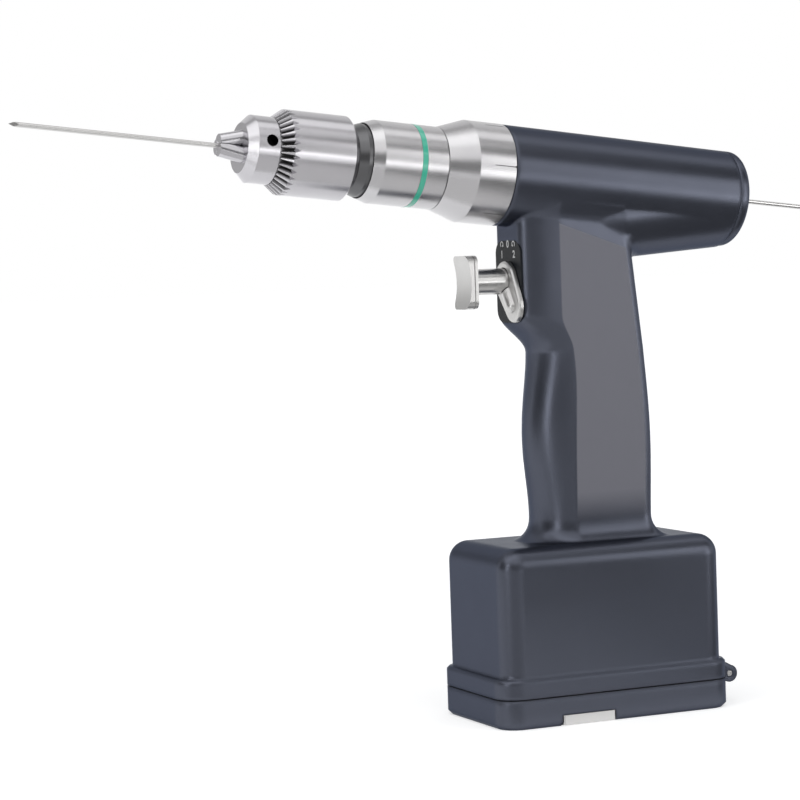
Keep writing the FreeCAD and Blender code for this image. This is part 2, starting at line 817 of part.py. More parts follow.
def couplingCollar():
    clipRoom = tubeRadius + 0.5 * clipHeight + bodyGap
    collar = turned((collarFront, clipRoom), (collarFront, collarFaceRadius),
                    (collarFront + collarConeLength, collarRadius), (collarRear, collarRadius),
                    (collarRear, collarBore), (tubeFront + 2.0 * clipWidth, collarBore),
                    (tubeFront + 2.0 * clipWidth, clipRoom))
    groove = tube(bandStation - 0.5 * bandWidth, bandStation + 0.5 * bandWidth, collarRadius + 1.0,
                  collarRadius - bandDepth)
    race = tube(ballStation - ballRadius - bodyGap, ballStation + ballRadius + bodyGap,
                ballOrbit() + ballRadius + 0.5 * bodyGap, collarBore - 0.1)
    return ontoBarrel(collar.cut([groove, race]))


def greenBand():
    half = 0.5 * bandWidth - seatGap
    return ontoBarrel(tube(bandStation - half, bandStation + half, collarRadius + runGap,
                           collarRadius - bandDepth + seatGap))


def chuckAdapter():
    seat = bearingOuter + seatGap
    groove = 0.7 * ballRadius
    depth = shankRadius - ballOrbit() + ballRadius + 0.5 * bodyGap
    adapter = turned((adapterFront, seat), (adapterFront, adapterFaceRadius),
                     (adapterFront + flangeCone, flangeRadius), (flangeRear, flangeRadius),
                     (flangeRear, shankRadius), (ballStation - groove - depth, shankRadius),
                     (ballStation - groove, shankRadius - depth), (ballStation + groove, shankRadius - depth),
                     (ballStation + groove + depth, shankRadius), (shankRear, shankRadius),
                     (shankRear, seat), (shankRear - bearingWidth, seat),
                     (shankRear - bearingWidth, shankBore), (adapterFront + bearingWidth, shankBore),
                     (adapterFront + bearingWidth, seat))
    return ontoBarrel(adapter)


def sealedBearing(start, width, outer, inner):
    """Bearing with recessed shields on both faces."""
    land = 0.22 * (outer - inner)
    dish = 0.08 * width
    end = start + width
    ring = turned((start, inner), (start, inner + land), (start + dish, inner + land),
                  (start + dish, outer - land), (start, outer - land), (start, outer), (end, outer),
                  (end, outer - land), (end - dish, outer - land), (end - dish, inner + land),
                  (end, inner + land), (end, inner))
    return ontoBarrel(ring)


# Chuck

def keyHoles():
    hole = Part.makeCylinder(keyHoleRadius, keyHoleDepth + 2.0,
                             V(keyHoleStation, 0, noseRadius - keyHoleDepth), V(0, 0, 1))
    return around(hole, jawCount, keyHoleAngle + 90.0)


def jawAngle(index):
    """Jaws sit midway between the key holes."""
    return keyHoleAngle + 90.0 + 60.0 + 360.0 * index / jawCount


def jawCylinder(radius, start, length):
    """Slanted cylinder along a jaw's path, above the axis; start is measured from the jaw's tip."""
    slope = math.radians(jawTilt)
    direction = V(math.cos(slope), 0, math.sin(slope))
    base = V(jawTip, 0, jawAxisAtTip) + direction * start
    return Part.makeCylinder(radius, length, base, direction)


def chuckBody():
    body = turned((noseFront, chuckOpening), (noseFront, noseFaceRadius),
                  (noseFront + noseConeLength, noseRadius), (noseRear, noseRadius),
                  (noseRear, coreRadius), (nutFront - bodyGap, coreRadius),
                  (nutFront - bodyGap, nutInnerFront - 0.5), (nutRear + bodyGap, nutInnerFront - 0.5),
                  (nutRear + bodyGap, coreRadius), (coreRear, coreRadius),
                  (coreRear, spindleThreadRadius + seatGap),
                  (spindleThreadFront - bodyGap, spindleThreadRadius + seatGap),
                  (spindleThreadFront - bodyGap, chuckOpening))
    barLength = jawLength / math.cos(math.radians(jawTilt))
    path = jawCylinder(jawRadius + runGap, -4.0, barLength + jawTravel + 4.0 + bodyGap)
    paths = [spun(path, jawAngle(index)) for index in range(jawCount)]
    return ontoBarrel(body.cut(paths + keyHoles()))


def jaw(index):
    """Slanted round bar with two gripping flats that meet at the wire, and rack teeth outside."""
    bar = jawCylinder(jawRadius, 0.0, jawLength / math.cos(math.radians(jawTilt)))
    face = Part.makeBox(2.0, 60.0, 60.0, V(jawTip - 2.0, -30.0, -30.0))
    bar = bar.cut(face)
    reach = 60.0
    edge = wireRadius + 0.5 * jawSectorGap
    wedge = []
    for side in (-1, 1):
        points = [V(jawTip - 1.0, -reach, jawSectorGap), V(jawTip - 1.0, reach, jawSectorGap),
                  V(jawTip - 1.0, reach, -reach), V(jawTip - 1.0, -reach, -reach)]
        cutter = Part.Face(Part.makePolygon(points + points[:1])).extrude(V(reach, 0, 0))
        cutter.rotate(V(0, 0, jawSectorGap), V(1, 0, 0), side * 30.0)
        wedge.append(cutter)
    bar = bar.cut(wedge + [rod(jawTip - 1.0, jawTip + reach, edge)])
    slope = math.radians(jawTilt)
    along = V(math.cos(slope), 0, math.sin(slope))
    outward = V(-math.sin(slope), 0, math.cos(slope))
    teeth = []
    start = nutFront - jawTip - 1.0
    count = int((jawLength - start) / jawThreadPitch)
    for number in range(count):
        middle = V(jawTip, 0, jawAxisAtTip) + along * (start + jawThreadPitch * (number + 0.5))
        base = middle + outward * (jawRadius - jawThreadDepth)
        half = 0.3 * jawThreadPitch
        points = [base, base + outward * 2.0 - along * half * 3.0, base + outward * 2.0 + along * half * 3.0]
        groove = Part.Face(Part.makePolygon(points + points[:1]))
        groove.translate(V(0, -5.0, 0))
        teeth.append(groove.extrude(V(0, 10.0, 0)))
    return ontoBarrel(spun(bar.cut(teeth), jawAngle(index)))


def chuckNut():
    """Ring whose cone meets the racks of the jaws."""
    slope = math.tan(math.radians(jawTilt))
    clear = jawRadius / math.cos(math.radians(jawTilt)) + bodyGap * 0.5
    front = nutInnerFront + clear
    rear = front + nutLength * slope
    outer = sleeveRecess - seatGap
    return ontoBarrel(turned((nutFront, front), (nutFront, outer), (nutRear, outer), (nutRear, rear)))


def chuckSleeve():
    """Knurl-free sleeve with a toothed bevel at its front for the chuck key."""
    bevelRear = sleeveFront + bevelLength
    sleeve = turned((sleeveFront, sleeveBore), (sleeveFront, sleeveFrontRadius), (bevelRear, sleeveRadius),
                    (sleeveRear - sleeveChamfer, sleeveRadius), (sleeveRear, sleeveRadius - sleeveChamfer),
                    (sleeveRear, sleeveBore), (sleeveRear - sleeveEndWall, sleeveBore),
                    (sleeveRear - sleeveEndWall, sleeveRecess), (nutFront, sleeveRecess),
                    (nutFront, sleeveBore))
    along = V(bevelLength, 0, sleeveRadius - sleeveFrontRadius).normalize()
    outward = V(-along.z, 0, along.x)
    start = V(sleeveFront, 0, sleeveFrontRadius) - along * 2.0
    valley = start - outward * bevelToothDepth
    ridge = start + outward * bevelToothDepth
    side = V(0, 2.0 * bevelToothHalfWidth, 0)
    points = [valley, ridge - side, ridge + side]
    wedge = Part.Face(Part.makePolygon(points + points[:1])).extrude(along * (bevelLength * 1.25 + 3.6))
    return ontoBarrel(sleeve.cut(around(wedge, bevelTeeth)))


def spindle():
    """Hollow shaft of the adapter: threaded nose for the chuck and a hexagon for the drive."""
    shaft = turned((spindleThreadFront, cannulaRadius), (spindleThreadFront, spindleThreadRadius),
                   (coreRear, spindleThreadRadius), (coreRear, spindleRadius),
                   (driveHexFront, spindleRadius), (driveHexFront, cannulaRadius))
    hexagon = hexBar(driveHexFront, driveHexRear, driveHexFlat - runGap)
    bore = rod(driveHexFront - 1.0, driveHexRear + 1.0, cannulaRadius)
    return ontoBarrel(shaft.fuse(hexagon.cut(bore)))


def hexBar(start, end, flat):
    corner = flat / math.cos(math.radians(30))
    points = []
    for index in range(6):
        angle = math.radians(60 * index)
        points.append(V(start, corner * math.cos(angle), corner * math.sin(angle)))
    return Part.Face(Part.makePolygon(points + points[:1])).extrude(V(end - start, 0, 0))


def guideWire():
    """Stiff wire with a three-sided point."""
    wire = rod(wireTip, wireTip + wireLength, wireRadius)
    slope = math.degrees(math.atan2(wireRadius, wirePointLength))
    cutter = Part.makeBox(40.0, 20.0, 20.0, V(-20.0, -10.0, 0))
    cutter.rotate(V(0, 0, 0), V(0, 1, 0), -slope)
    cutter.translate(V(wireTip, 0, 0))
    return ontoBarrel(wire.cut(around(cutter, 3, 90.0)))


# Gear stage

def gearOutline(teeth, pitch, inside, start):
    """Closed outline of straight-sided teeth; inside gives the spaces of a ring gear."""
    sign = -1.0 if inside else 1.0
    root = pitch - sign * gearDedendum * gearModule
    tip = pitch + sign * gearAddendum * gearModule
    flank = math.tan(math.radians(20.0))
    halfPitch = 0.25 * math.pi * gearModule - 0.25 * gearBacklash
    rootHalf = (halfPitch + flank * abs(pitch - root)) / root
    tipHalf = (halfPitch - flank * abs(tip - pitch)) / tip
    points = []
    for index in range(teeth):
        middle = 2.0 * math.pi * index / teeth
        for radius, offset in ((root, -rootHalf), (tip, -tipHalf), (tip, tipHalf), (root, rootHalf)):
            angle = middle + offset
            points.append(V(start, radius * math.sin(angle), radius * math.cos(angle)))
    return Part.Face(Part.makePolygon(points + points[:1]))


def gearBlank(teeth, pitch, inside=False):
    return gearOutline(teeth, pitch, inside, gearFront).extrude(V(gearFaceWidth, 0, 0))


def ringGear():
    blank = rod(gearFront, gearRear, ringSeat - seatGap)
    return ontoBarrel(blank.cut(gearBlank(ringTeeth, ringPitch, True)))


def planetCentre(index):
    angle = math.radians(360.0 * index / planetCount)
    return V(0, -planetOrbit * math.sin(angle), planetOrbit * math.cos(angle))


def planetGear(index):
    gear = spun(gearBlank(planetTeeth, planetPitch), 180.0 / planetTeeth)
    gear = gear.cut(rod(gearFront - 1.0, gearRear + 1.0, planetPinRadius + runGap))
    gear = spun(gear, 360.0 * index / planetCount)
    gear.translate(planetCentre(index))
    return ontoBarrel(gear)


def planetPins():
    pins = []
    for index in range(planetCount):
        pin = rod(carrierFront, carrierRear, planetPinRadius)
        pin.translate(planetCentre(index))
        pins.append(ontoBarrel(pin))
    return Part.Compound(pins)


def planetCarrier():
    """Two plates joined by posts, with the hollow output shaft in front."""
    frontEnd = gearFront - carrierGap
    rearStart = gearRear + carrierGap
    front = turned((tubeRear, cannulaRadius), (tubeRear, spindleRadius), (carrierFront, spindleRadius),
                   (carrierFront, carrierRadius), (frontEnd, carrierRadius), (frontEnd, cannulaRadius))
    rear = tube(rearStart, carrierRear, carrierRadius, rotorShaftRadius + bodyGap)
    post = rod(frontEnd, rearStart, carrierPost)
    post.translate(V(0, 0, carrierRadius - carrierPost - 0.3))
    socket = hexBar(tubeRear - 1.0, driveHexRear + bodyGap, driveHexFlat)
    holes = []
    for index in range(planetCount):
        hole = rod(carrierFront - 1.0, carrierRear + 1.0, planetPinRadius + seatGap)
        hole.translate(planetCentre(index))
        holes.append(hole)
    carrier = front.fuse([rear] + around(post, planetCount, 180.0 / planetCount))
    return ontoBarrel(carrier.cut(holes + [socket]))


# Motor

def rotorShaft():
    """Hollow rotor shaft with the sun gear cut on its front end."""
    magnetBore = rotorRadius - magnetWall
    start = statorFront + 1.0
    end = statorFront + statorLength - 1.0
    shaft = turned((gearRear, 0), (gearRear, rotorShaftRadius), (start, rotorShaftRadius),
                   (start, magnetBore), (end, magnetBore), (end, rotorShaftRadius),
                   (rotorRear, rotorShaftRadius), (rotorRear, 0))
    shaft = shaft.fuse(gearBlank(sunTeeth, sunPitch))
    return ontoBarrel(shaft.cut(rod(gearFront - 1.0, rotorRear + 1.0, cannulaRadius)))


def rotorMagnets():
    start = statorFront + 1.0
    end = statorFront + statorLength - 1.0
    return ontoBarrel(tube(start, end, rotorRadius, rotorRadius - magnetWall + seatGap))


def slotOrbit():
    return 0.5 * (statorBore + boreSeat)


def statorCore():
    core = tube(statorFront, statorFront + statorLength, boreSeat, statorBore)
    slot = rod(statorFront - 1.0, statorFront + statorLength + 1.0, slotRadius)
    slot.translate(V(0, 0, slotOrbit()))
    mouth = Part.makeBox(statorLength + 2.0, slotMouth, slotOrbit(),
                         V(statorFront - 1.0, -0.5 * slotMouth, 0))
    return ontoBarrel(core.cut(around(slot.fuse(mouth), statorSlots)))


def statorWindings():
    """Copper in the slots, joined by a ring of end turns at both ends."""
    inner = slotOrbit() - slotRadius
    outer = slotOrbit() + slotRadius
    front = tube(statorFront - endTurnLength, statorFront - windingGap, outer, inner)
    rearStart = statorFront + statorLength + windingGap
    rear = tube(rearStart, rearStart + endTurnLength, outer, inner)
    bar = rod(statorFront - 1.0, rearStart + 1.0, slotRadius - windingGap)
    bar.translate(V(0, 0, slotOrbit()))
    return ontoBarrel(front.fuse([rear] + around(bar, statorSlots)))


def motorPlate(station):
    """Disc with a seat for a rotor bearing and lightening holes."""
    seat = motorBearingOuter + seatGap
    end = station + plateThickness
    plate = turned((station, rotorShaftRadius + 1.0), (station, boreSeat), (end, boreSeat), (end, seat),
                   (end - motorBearingWidth, seat), (end - motorBearingWidth, rotorShaftRadius + 1.0))
    hole = rod(station - 1.0, end + 1.0, 2.4)
    hole.translate(V(0, 0, 0.5 * (seat + boreSeat)))
    return ontoBarrel(plate.cut(around(hole, 6)))


def sensorBoard():
    end = sensorBoardStation + sensorBoardThickness
    board = tube(sensorBoardStation, end, boreSeat, guideRadius + 2.0)
    chip = Part.makeBox(1.2, 4.0, 3.0, V(sensorBoardStation - 1.2, -2.0, 8.0))
    return ontoBarrel(board.fuse(around(chip, 3)))


def guideTube():
    return ontoBarrel(tube(guideFront, barrelLength + capThickness, guideRadius, guideBore))


# Trigger and selector

def triggerHead():
    front = headFront
    half = 0.5 * headHeight
    top = V(front, 0, half)
    bottom = V(front, 0, -half)
    hollow = Part.Arc(bottom, V(front + headHollow, 0, 0), top).toShape()
    plateRear = front + headPlate
    outline = Part.Wire([hollow, Part.makeLine(top, V(plateRear, 0, half)),
                         Part.makeLine(V(plateRear, 0, half), V(plateRear, 0, -half)),
                         Part.makeLine(V(plateRear, 0, -half), bottom)])
    slab = Part.Face(outline).extrude(V(0, headWidth, 0))
    slab.translate(V(0, -0.5 * headWidth, 0))
    plate = slab.common(uprightBlock(front - 1.0, plateRear, 0.5 * headWidth, half, headCorner))
    neck = uprightBlock(plateRear, plateRear + headStep, 0.5 * headWidth - headStep, half - headStep,
                        headCorner - headStep)
    back = uprightBlock(plateRear + headStep, front + headThickness, 0.5 * headWidth, half, headCorner)
    head = plate.fuse([neck, back])
    socket = rod(front + headHollow + 1.0, front + headThickness + 1.0, 0.5 * stemRadius + seatGap)
    return ontoTrigger(head.cut(socket))


def triggerStem():
    front = headFront + headHollow + 1.0 + seatGap
    clip = stopClipStation()
    stem = turned((front, 0), (front, 0.5 * stemRadius), (headFront + headThickness, 0.5 * stemRadius),
                  (headFront + headThickness, stemRadius), (clip, stemRadius),
                  (clip, stemRadius - 0.5), (clip + stopClipWidth, stemRadius - 0.5),
                  (clip + stopClipWidth, stemRadius), (stemShoulder, stemRadius),
                  (stemShoulder, stemTailRadius), (stemTail, stemTailRadius), (stemTail, 0))
    return ontoTrigger(stem)


def stopClipStation():
    return bushRear + bodyGap


def stopClip():
    start = stopClipStation() + seatGap
    ring = tube(start, start + stopClipWidth - 2.0 * seatGap, stemRadius - 0.5 + stopClipHeight,
                stemRadius - 0.5 + seatGap)
    mouth = Part.makeBox(3.0, 2.4, 10.0, V(start - 1.0, -1.2, -10.0))
    return ontoTrigger(ring.cut(mouth))


def triggerBush():
    return ontoTrigger(tube(bushRear - bushLength, bushRear, snoutBore - seatGap, stemRadius + runGap))


def triggerSpring():
    return ontoTrigger(coil(stemShoulder + 0.1, switchFront - 0.1, springTurns, springCoil, springWire))


def switchModule():
    block = roundedBlock(switchFront, channelRear - bodyGap, channelHalfWidth - bodyGap,
                         channelCorner - bodyGap, -switchHalfHeight, switchHalfHeight)
    well = rod(switchFront - 1.0, stemTravelEnd + 1.5, stemTailRadius + bodyGap)
    return ontoTrigger(block.cut(well))


def leverPlan(hub, lobe, reach, x):
    """Outline of two circles joined by their tangents, the small one below."""
    lean = math.asin((hub - lobe) / reach)
    c = math.cos(lean)
    s = math.sin(lean)
    hubRight = V(x, hub * c, -hub * s)
    hubLeft = V(x, -hub * c, -hub * s)
    lobeRight = V(x, lobe * c, -reach - lobe * s)
    lobeLeft = V(x, -lobe * c, -reach - lobe * s)
    top = Part.Arc(hubRight, V(x, 0, hub), hubLeft).toShape()
    bottom = Part.Arc(lobeLeft, V(x, 0, -reach - lobe), lobeRight).toShape()
    return Part.Wire([top, Part.makeLine(hubLeft, lobeLeft), bottom, Part.makeLine(lobeRight, hubRight)])


def selectorLever():
    """Flat lever around the trigger's stem, with a raised thumb ridge and a sleeve into the snout."""
    rear = selectorFront + selectorPlate
    plate = Part.Face(leverPlan(selectorHubRadius, selectorLobeRadius, selectorReach, selectorFront))
    plate = plate.extrude(V(selectorPlate, 0, 0))
    front = [edge for edge in plate.Edges if abs(edge.BoundBox.XMax - selectorFront) < 1e-4]
    plate = plate.makeFillet(0.45 * selectorPlate, front)
    ridge = Part.makeCylinder(selectorRidgeRadius, selectorReach,
                              V(selectorFront + 0.9 * selectorRidgeRadius - selectorRidge, 0, 0), V(0, 0, -1))
    ridge = ridge.fuse(Part.makeSphere(selectorRidgeRadius,
                                       V(selectorFront + 0.9 * selectorRidgeRadius - selectorRidge, 0,
                                         -selectorReach)))
    keep = Part.makeBox(20.0, 60.0, 60.0, V(rear - 20.0, -30.0, -60.0))
    sleeve = rod(rear - 0.1, snoutFront + selectorSleeveLength, stemRadius + bodyGap + selectorSleeveWall)
    clip = selectorClipStation()
    groove = tube(clip, clip + selectorClipWidth, snoutBore + 1.0, stemRadius + bodyGap + 1.0)
    lever = plate.fuse([ridge.common(keep), sleeve])
    bore = rod(selectorFront - 5.0, snoutFront + selectorSleeveLength + 1.0, stemRadius + bodyGap)
    return ontoTrigger(spun(lever.cut([bore, groove]), -selectorSwing))


def selectorClipStation():
    return snoutFront + selectorSleeveLength - 2.0 * selectorClipWidth


def selectorClip():
    start = selectorClipStation() + seatGap
    ring = tube(start, start + selectorClipWidth - 2.0 * seatGap, snoutBore + selectorClipHeight,
                stemRadius + bodyGap + 1.0 + seatGap)
    mouth = Part.makeBox(3.0, 3.0, 12.0, V(start - 1.0, -1.5, 0))
    return ontoTrigger(spun(ring.cut(mouth), -selectorSwing))


# Battery, lid, hinge and latches

def batteryLid():
    lid = roundedBlock(rimFront, rimRear, rimHalfWidth, rimCorner, 0.0, lidTop)
    lid = lid.makeChamfer(lidEdge, edgesAtHeight(lid, 0.0))
    pocket = roundedBlock(rimFront + lidWall, rimRear - lidWall, mouthHalfWidth, rimCorner - lidWall,
                          lidFloor, lidTop + 1.0)
    middle = 0.5 * lidWall
    grooveOut = roundedBlock(rimFront + middle - 0.5 * sealWidth, rimRear - middle + 0.5 * sealWidth,
                             rimHalfWidth - middle + 0.5 * sealWidth, rimCorner - middle + 0.5 * sealWidth,
                             lidTop - sealHeight + bodyGap, lidTop + 1.0)
    grooveIn = roundedBlock(rimFront + middle + 0.5 * sealWidth, rimRear - middle - 0.5 * sealWidth,
                            rimHalfWidth - middle - 0.5 * sealWidth, rimCorner - middle - 0.5 * sealWidth,
                            lidTop - sealHeight, lidTop + 2.0)
    eye = knuckle(0.0, hingeMiddle - bodyGap, 1, lidTop - 0.3, 0.4 * lidTop)
    eye = eye.fuse(knuckle(0.0, hingeMiddle - bodyGap, -1, lidTop - 0.3, 0.4 * lidTop))
    lid = lid.fuse(eye)
    cuts = [pocket, grooveOut.cut(grooveIn), hingeBore()]
    posts = []
    for side in (-1, 1):
        start = min(side * (latchInner - latchTravel - bodyGap), side * (rimHalfWidth + 1.0))
        cuts.append(Part.makeBox(latchLength + 2.0 * bodyGap, rimHalfWidth + 1.0 - latchInner + latchTravel
                                 + bodyGap, latchHeight + 2.0 * bodyGap,
                                 V(latchX - 0.5 * latchLength - bodyGap, start, -bodyGap)))
        post = min(side * latchPostOuter, side * (latchPostOuter - latchPost))
        posts.append(Part.makeBox(latchArmLength, latchPost, latchPostHeight + 0.5,
                                  V(latchX - 0.5 * latchArmLength, post, lidFloor - 0.5)))
    return lid.cut(cuts).fuse(posts)


def lidSeal():
    middle = 0.5 * lidWall
    half = 0.5 * sealWidth - seatGap
    low = lidTop - sealHeight + bodyGap + seatGap
    high = lidTop + sealGap
    outer = roundedBlock(rimFront + middle - half, rimRear - middle + half, rimHalfWidth - middle + half,
                         rimCorner - middle + half, low, high)
    inner = roundedBlock(rimFront + middle + half, rimRear - middle - half, rimHalfWidth - middle - half,
                         rimCorner - middle - half, low - 1.0, high + 1.0)
    return outer.cut(inner)


def hingePin():
    pin = Part.makeCylinder(hingePinRadius, 2.0 * hingeHalfLength,
                            V(hingeX, -hingeHalfLength, hingeZ), V(0, 1, 0))
    return pin.makeChamfer(0.3, [edge for edge in pin.Edges if edge.BoundBox.YLength < 1e-4])


def lidLatch(side):
    """Push tab in the lid's lower edge, with an arm that reaches up inside the wall."""
    outer = rimHalfWidth + latchProud
    start = min(side * latchInner, side * outer)
    tab = Part.makeBox(latchLength, outer - latchInner, latchHeight,
                       V(latchX - 0.5 * latchLength, start, bodyGap))
    ends = [edge for edge in tab.Edges if edge.BoundBox.ZLength > 1.0
            and abs(abs(edge.BoundBox.YMin) - outer) < 1e-4]
    tab = tab.makeFillet(1.0, ends)
    armStart = min(side * latchInner, side * latchOuter)
    arm = Part.makeBox(latchArmLength, latchArm, latchTop - bodyGap,
                       V(latchX - 0.5 * latchArmLength, armStart, bodyGap))
    return tab.fuse(arm)


def latchSpring(side):
    """Bowed leaf between the lid's post and the latch's arm."""
    half = 0.5 * latchSpringLength
    low = latchPostOuter + seatGap
    bow = latchInner - seatGap - low
    edges = []
    for lift in (0.0, latchSpringThickness):
        ends = [V(-half, side * (low + lift), 0), V(0, side * (low + bow - latchSpringThickness + lift), 0),
                V(half, side * (low + lift), 0)]
        if lift > 0.0:
            ends.reverse()
        edges.append(Part.Arc(*ends).toShape())
    edges.insert(1, Part.makeLine(V(half, side * low, 0), V(half, side * (low + latchSpringThickness), 0)))
    edges.append(Part.makeLine(V(-half, side * (low + latchSpringThickness), 0), V(-half, side * low, 0)))
    leaf = Part.Face(Part.Wire(edges)).extrude(V(0, 0, latchSpringHeight))
    leaf.translate(V(latchX, 0, lidFloor + bodyGap))
    return leaf


def batteryCase():
    case = roundedBlock(batteryFront, batteryRear, batteryHalfWidth, batteryCorner, batteryBottom, batteryTop)
    case = case.makeFillet(1.0, edgesAtHeight(case, batteryTop) + edgesAtHeight(case, batteryBottom))
    room = roundedBlock(batteryFront + batteryWall, batteryRear - batteryWall, batteryHalfWidth - batteryWall,
                        batteryCorner - batteryWall, batteryBottom + batteryWall, batteryTop - batteryWall)
    return case.cut(room)


def cellCentres():
    middle = 0.5 * (batteryBottom + batteryTop)
    half = cellRadius + 0.5 * cellGap
    return [(y * half, middle + z * half) for y in (-1, 1) for z in (-1, 1)]


def batteryCells():
    cells = []
    for y, z in cellCentres():
        cell = turned((-0.5 * cellLength, 0), (-0.5 * cellLength, cellRadius),
                      (0.5 * cellLength, cellRadius), (0.5 * cellLength, 0.35 * cellRadius),
                      (0.5 * cellLength + cellNub, 0.35 * cellRadius), (0.5 * cellLength + cellNub, 0))
        cell.translate(V(0, y, z))
        cells.append(cell)
    return Part.Compound(cells)


def cellHolders():
    """Plates at both ends of the cells, standing on the case's floor."""
    halfHeight = 0.5 * batteryHeight - batteryWall - seatGap
    halfWidth = batteryHalfWidth - batteryWall - seatGap
    holders = []
    for side in (-1, 1):
        middle = side * (0.5 * cellLength - 6.0)
        plate = uprightBlock(middle - 0.5 * holderThickness, middle + 0.5 * holderThickness, halfWidth,
                             halfHeight, 2.0)
        plate.translate(V(0, 0, 0.5 * (batteryBottom + batteryTop)))
        for y, z in cellCentres():
            hole = rod(-cellLength, cellLength, cellRadius + seatGap)
            hole.translate(V(0, y, z))
            plate = plate.cut(hole)
        holders.append(plate)
    return Part.Compound(holders)


def terminalPlaces():
    middle = 0.5 * (channelFront + channelRear)
    return [V(middle, terminalSpacing * (index - 1), batteryTop) for index in range(3)]


def batteryTerminals():
    pads = []
    for place in terminalPlaces():
        pads.append(Part.makeBox(terminalLength, terminalWidth, terminalHeight,
                                 place - V(0.5 * terminalLength, 0.5 * terminalWidth, 0)))
    return Part.Compound(pads)


def contactBlock():
    low = compartmentTop - contactBlockHeight
    flange = roundedBlock(channelFront - 4.0, channelRear + 4.0, channelHalfWidth + 3.0, 2.0, low,
                          compartmentTop)
    plug = roundedBlock(channelFront + bodyGap, channelRear - bodyGap, channelHalfWidth - bodyGap,
                        channelCorner, compartmentTop, compartmentTop + contactPlug)
    slot = Part.makeBox(60.0, boardThickness + 0.1, 2.0,
                        V(-30.0, -0.5 * boardThickness - 0.05, compartmentTop + contactPlug - 2.0))
    holes = []
    for place in terminalPlaces():
        holes.append(Part.makeCylinder(contactPinRadius + seatGap, 6.0, V(place.x, place.y, low - 1.0)))
    return flange.fuse(plug).cut(holes + [slot])


def contactPins():
    """Sprung contacts between the battery's pads and the block."""
    pins = []
    bottom = batteryTop + terminalHeight + seatGap
    top = compartmentTop - contactBlockHeight + 4.5
    for place in terminalPlaces():
        pin = Part.makeCylinder(contactPinRadius, top - bottom - contactPinRadius,
                                V(place.x, place.y, bottom + contactPinRadius))
        pins.append(pin.fuse(Part.makeSphere(contactPinRadius, V(place.x, place.y, bottom + contactPinRadius))))
    return Part.Compound(pins)


def controllerBoard():
    low = compartmentTop + contactPlug - 2.0 + seatGap
    front = channelFront + bodyGap
    rear = channelRear - bodyGap
    board = Part.makeBox(rear - front, boardThickness, boardTop - low, V(front, -0.5 * boardThickness, low))
    parts = []
    spots = ((0.2, 8.0, 1), (0.45, 6.0, 1), (0.7, 9.0, 1), (0.3, 7.0, -1), (0.62, 10.0, -1))
    for share, size, side in spots:
        z = low + share * (boardTop - low)
        y = 0.5 * boardThickness if side > 0 else -0.5 * boardThickness - chipHeight
        parts.append(Part.makeBox(size, chipHeight, size, V(front + 6.0, y, z)))
    return board.fuse(parts)


def fixedBearings():
    """Sealed bearings of the spindle, the output shaft and the rotor, by node name."""
    adapterRear = shankRear - bearingWidth
    plateSeat = plateThickness - motorBearingWidth
    spindleBore = spindleRadius + runGap
    rotorBore = rotorShaftRadius + runGap
    places = {
        "adapter_front_bearing": (adapterFront, bearingWidth, bearingOuter, spindleBore),
        "adapter_rear_bearing": (adapterRear, bearingWidth, bearingOuter, spindleBore),
        "output_bearing": (outputBearingFront, bearingWidth, bearingOuter, spindleBore),
        "motor_front_bearing": (frontPlateStation + plateSeat, motorBearingWidth, motorBearingOuter,
                                rotorBore),
        "motor_rear_bearing": (rearPlateStation + plateSeat, motorBearingWidth, motorBearingOuter,
                               rotorBore),
    }
    return {name: sealedBearing(*place) for name, place in places.items()}


def allParts():
    parts = {
        "housing": housing(),
        "rear_cap": rearCap(),
        "rear_cap_seal": tailSeal(),
        "front_ring": frontRing(),
        "collar_clip": collarClip(),
        "lock_balls": lockBalls(),
        "coupling_collar": couplingCollar(),
        "green_band": greenBand(),
        "chuck_adapter": chuckAdapter(),
        "chuck_body": chuckBody(),
        "chuck_sleeve": chuckSleeve(),
        "chuck_nut": chuckNut(),
        "spindle": spindle(),
        "guide_wire": guideWire(),
        "ring_gear": ringGear(),
        "planet_carrier": planetCarrier(),
        "planet_pins": planetPins(),
        "rotor_shaft": rotorShaft(),
        "rotor_magnets": rotorMagnets(),
        "stator_core": statorCore(),
        "stator_windings": statorWindings(),
        "motor_front_plate": motorPlate(frontPlateStation),
        "motor_rear_plate": motorPlate(rearPlateStation),
        "sensor_board": sensorBoard(),
        "guide_tube": guideTube(),
        "label_plate": labelPlate(),
        "trigger_head": triggerHead(),
        "trigger_stem": triggerStem(),
        "trigger_stop_clip": stopClip(),
        "trigger_bush": triggerBush(),
        "trigger_spring": triggerSpring(),
        "switch_module": switchModule(),
        "selector_lever": selectorLever(),
        "selector_clip": selectorClip(),
        "battery_lid": batteryLid(),
        "lid_seal": lidSeal(),
        "hinge_pin": hingePin(),
        "latch_near": lidLatch(-1),
        "latch_far": lidLatch(1),
        "latch_spring_near": latchSpring(-1),
        "latch_spring_far": latchSpring(1),
        "battery_case": batteryCase(),
        "battery_cells": batteryCells(),
        "cell_holders": cellHolders(),
        "battery_terminals": batteryTerminals(),
        "contact_block": contactBlock(),
        "contact_pins": contactPins(),
        "controller_board": controllerBoard(),
    }
    parts.update(fixedBearings())
    for index in range(jawCount):
        parts["jaw_%d" % (index + 1)] = jaw(index)
    for index in range(planetCount):
        parts["planet_gear_%d" % (index + 1)] = planetGear(index)
    return parts


os.makedirs("parts", exist_ok=True)
for name, shape in allParts().items():
    solid = shape.removeSplitter() if len(shape.Solids) == 1 else shape
    solid.exportStep("parts/%s.step" % name)
    box = solid.BoundBox
    size = "%.1f x %.1f x %.1f" % (box.XLength, box.YLength, box.ZLength)
    print(name, "solids", len(solid.Solids), "volume %.1f" % solid.Volume, size, "valid", solid.isValid())
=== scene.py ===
import bpy
import bmesh
import json
import math
from mathutils import Matrix, Vector


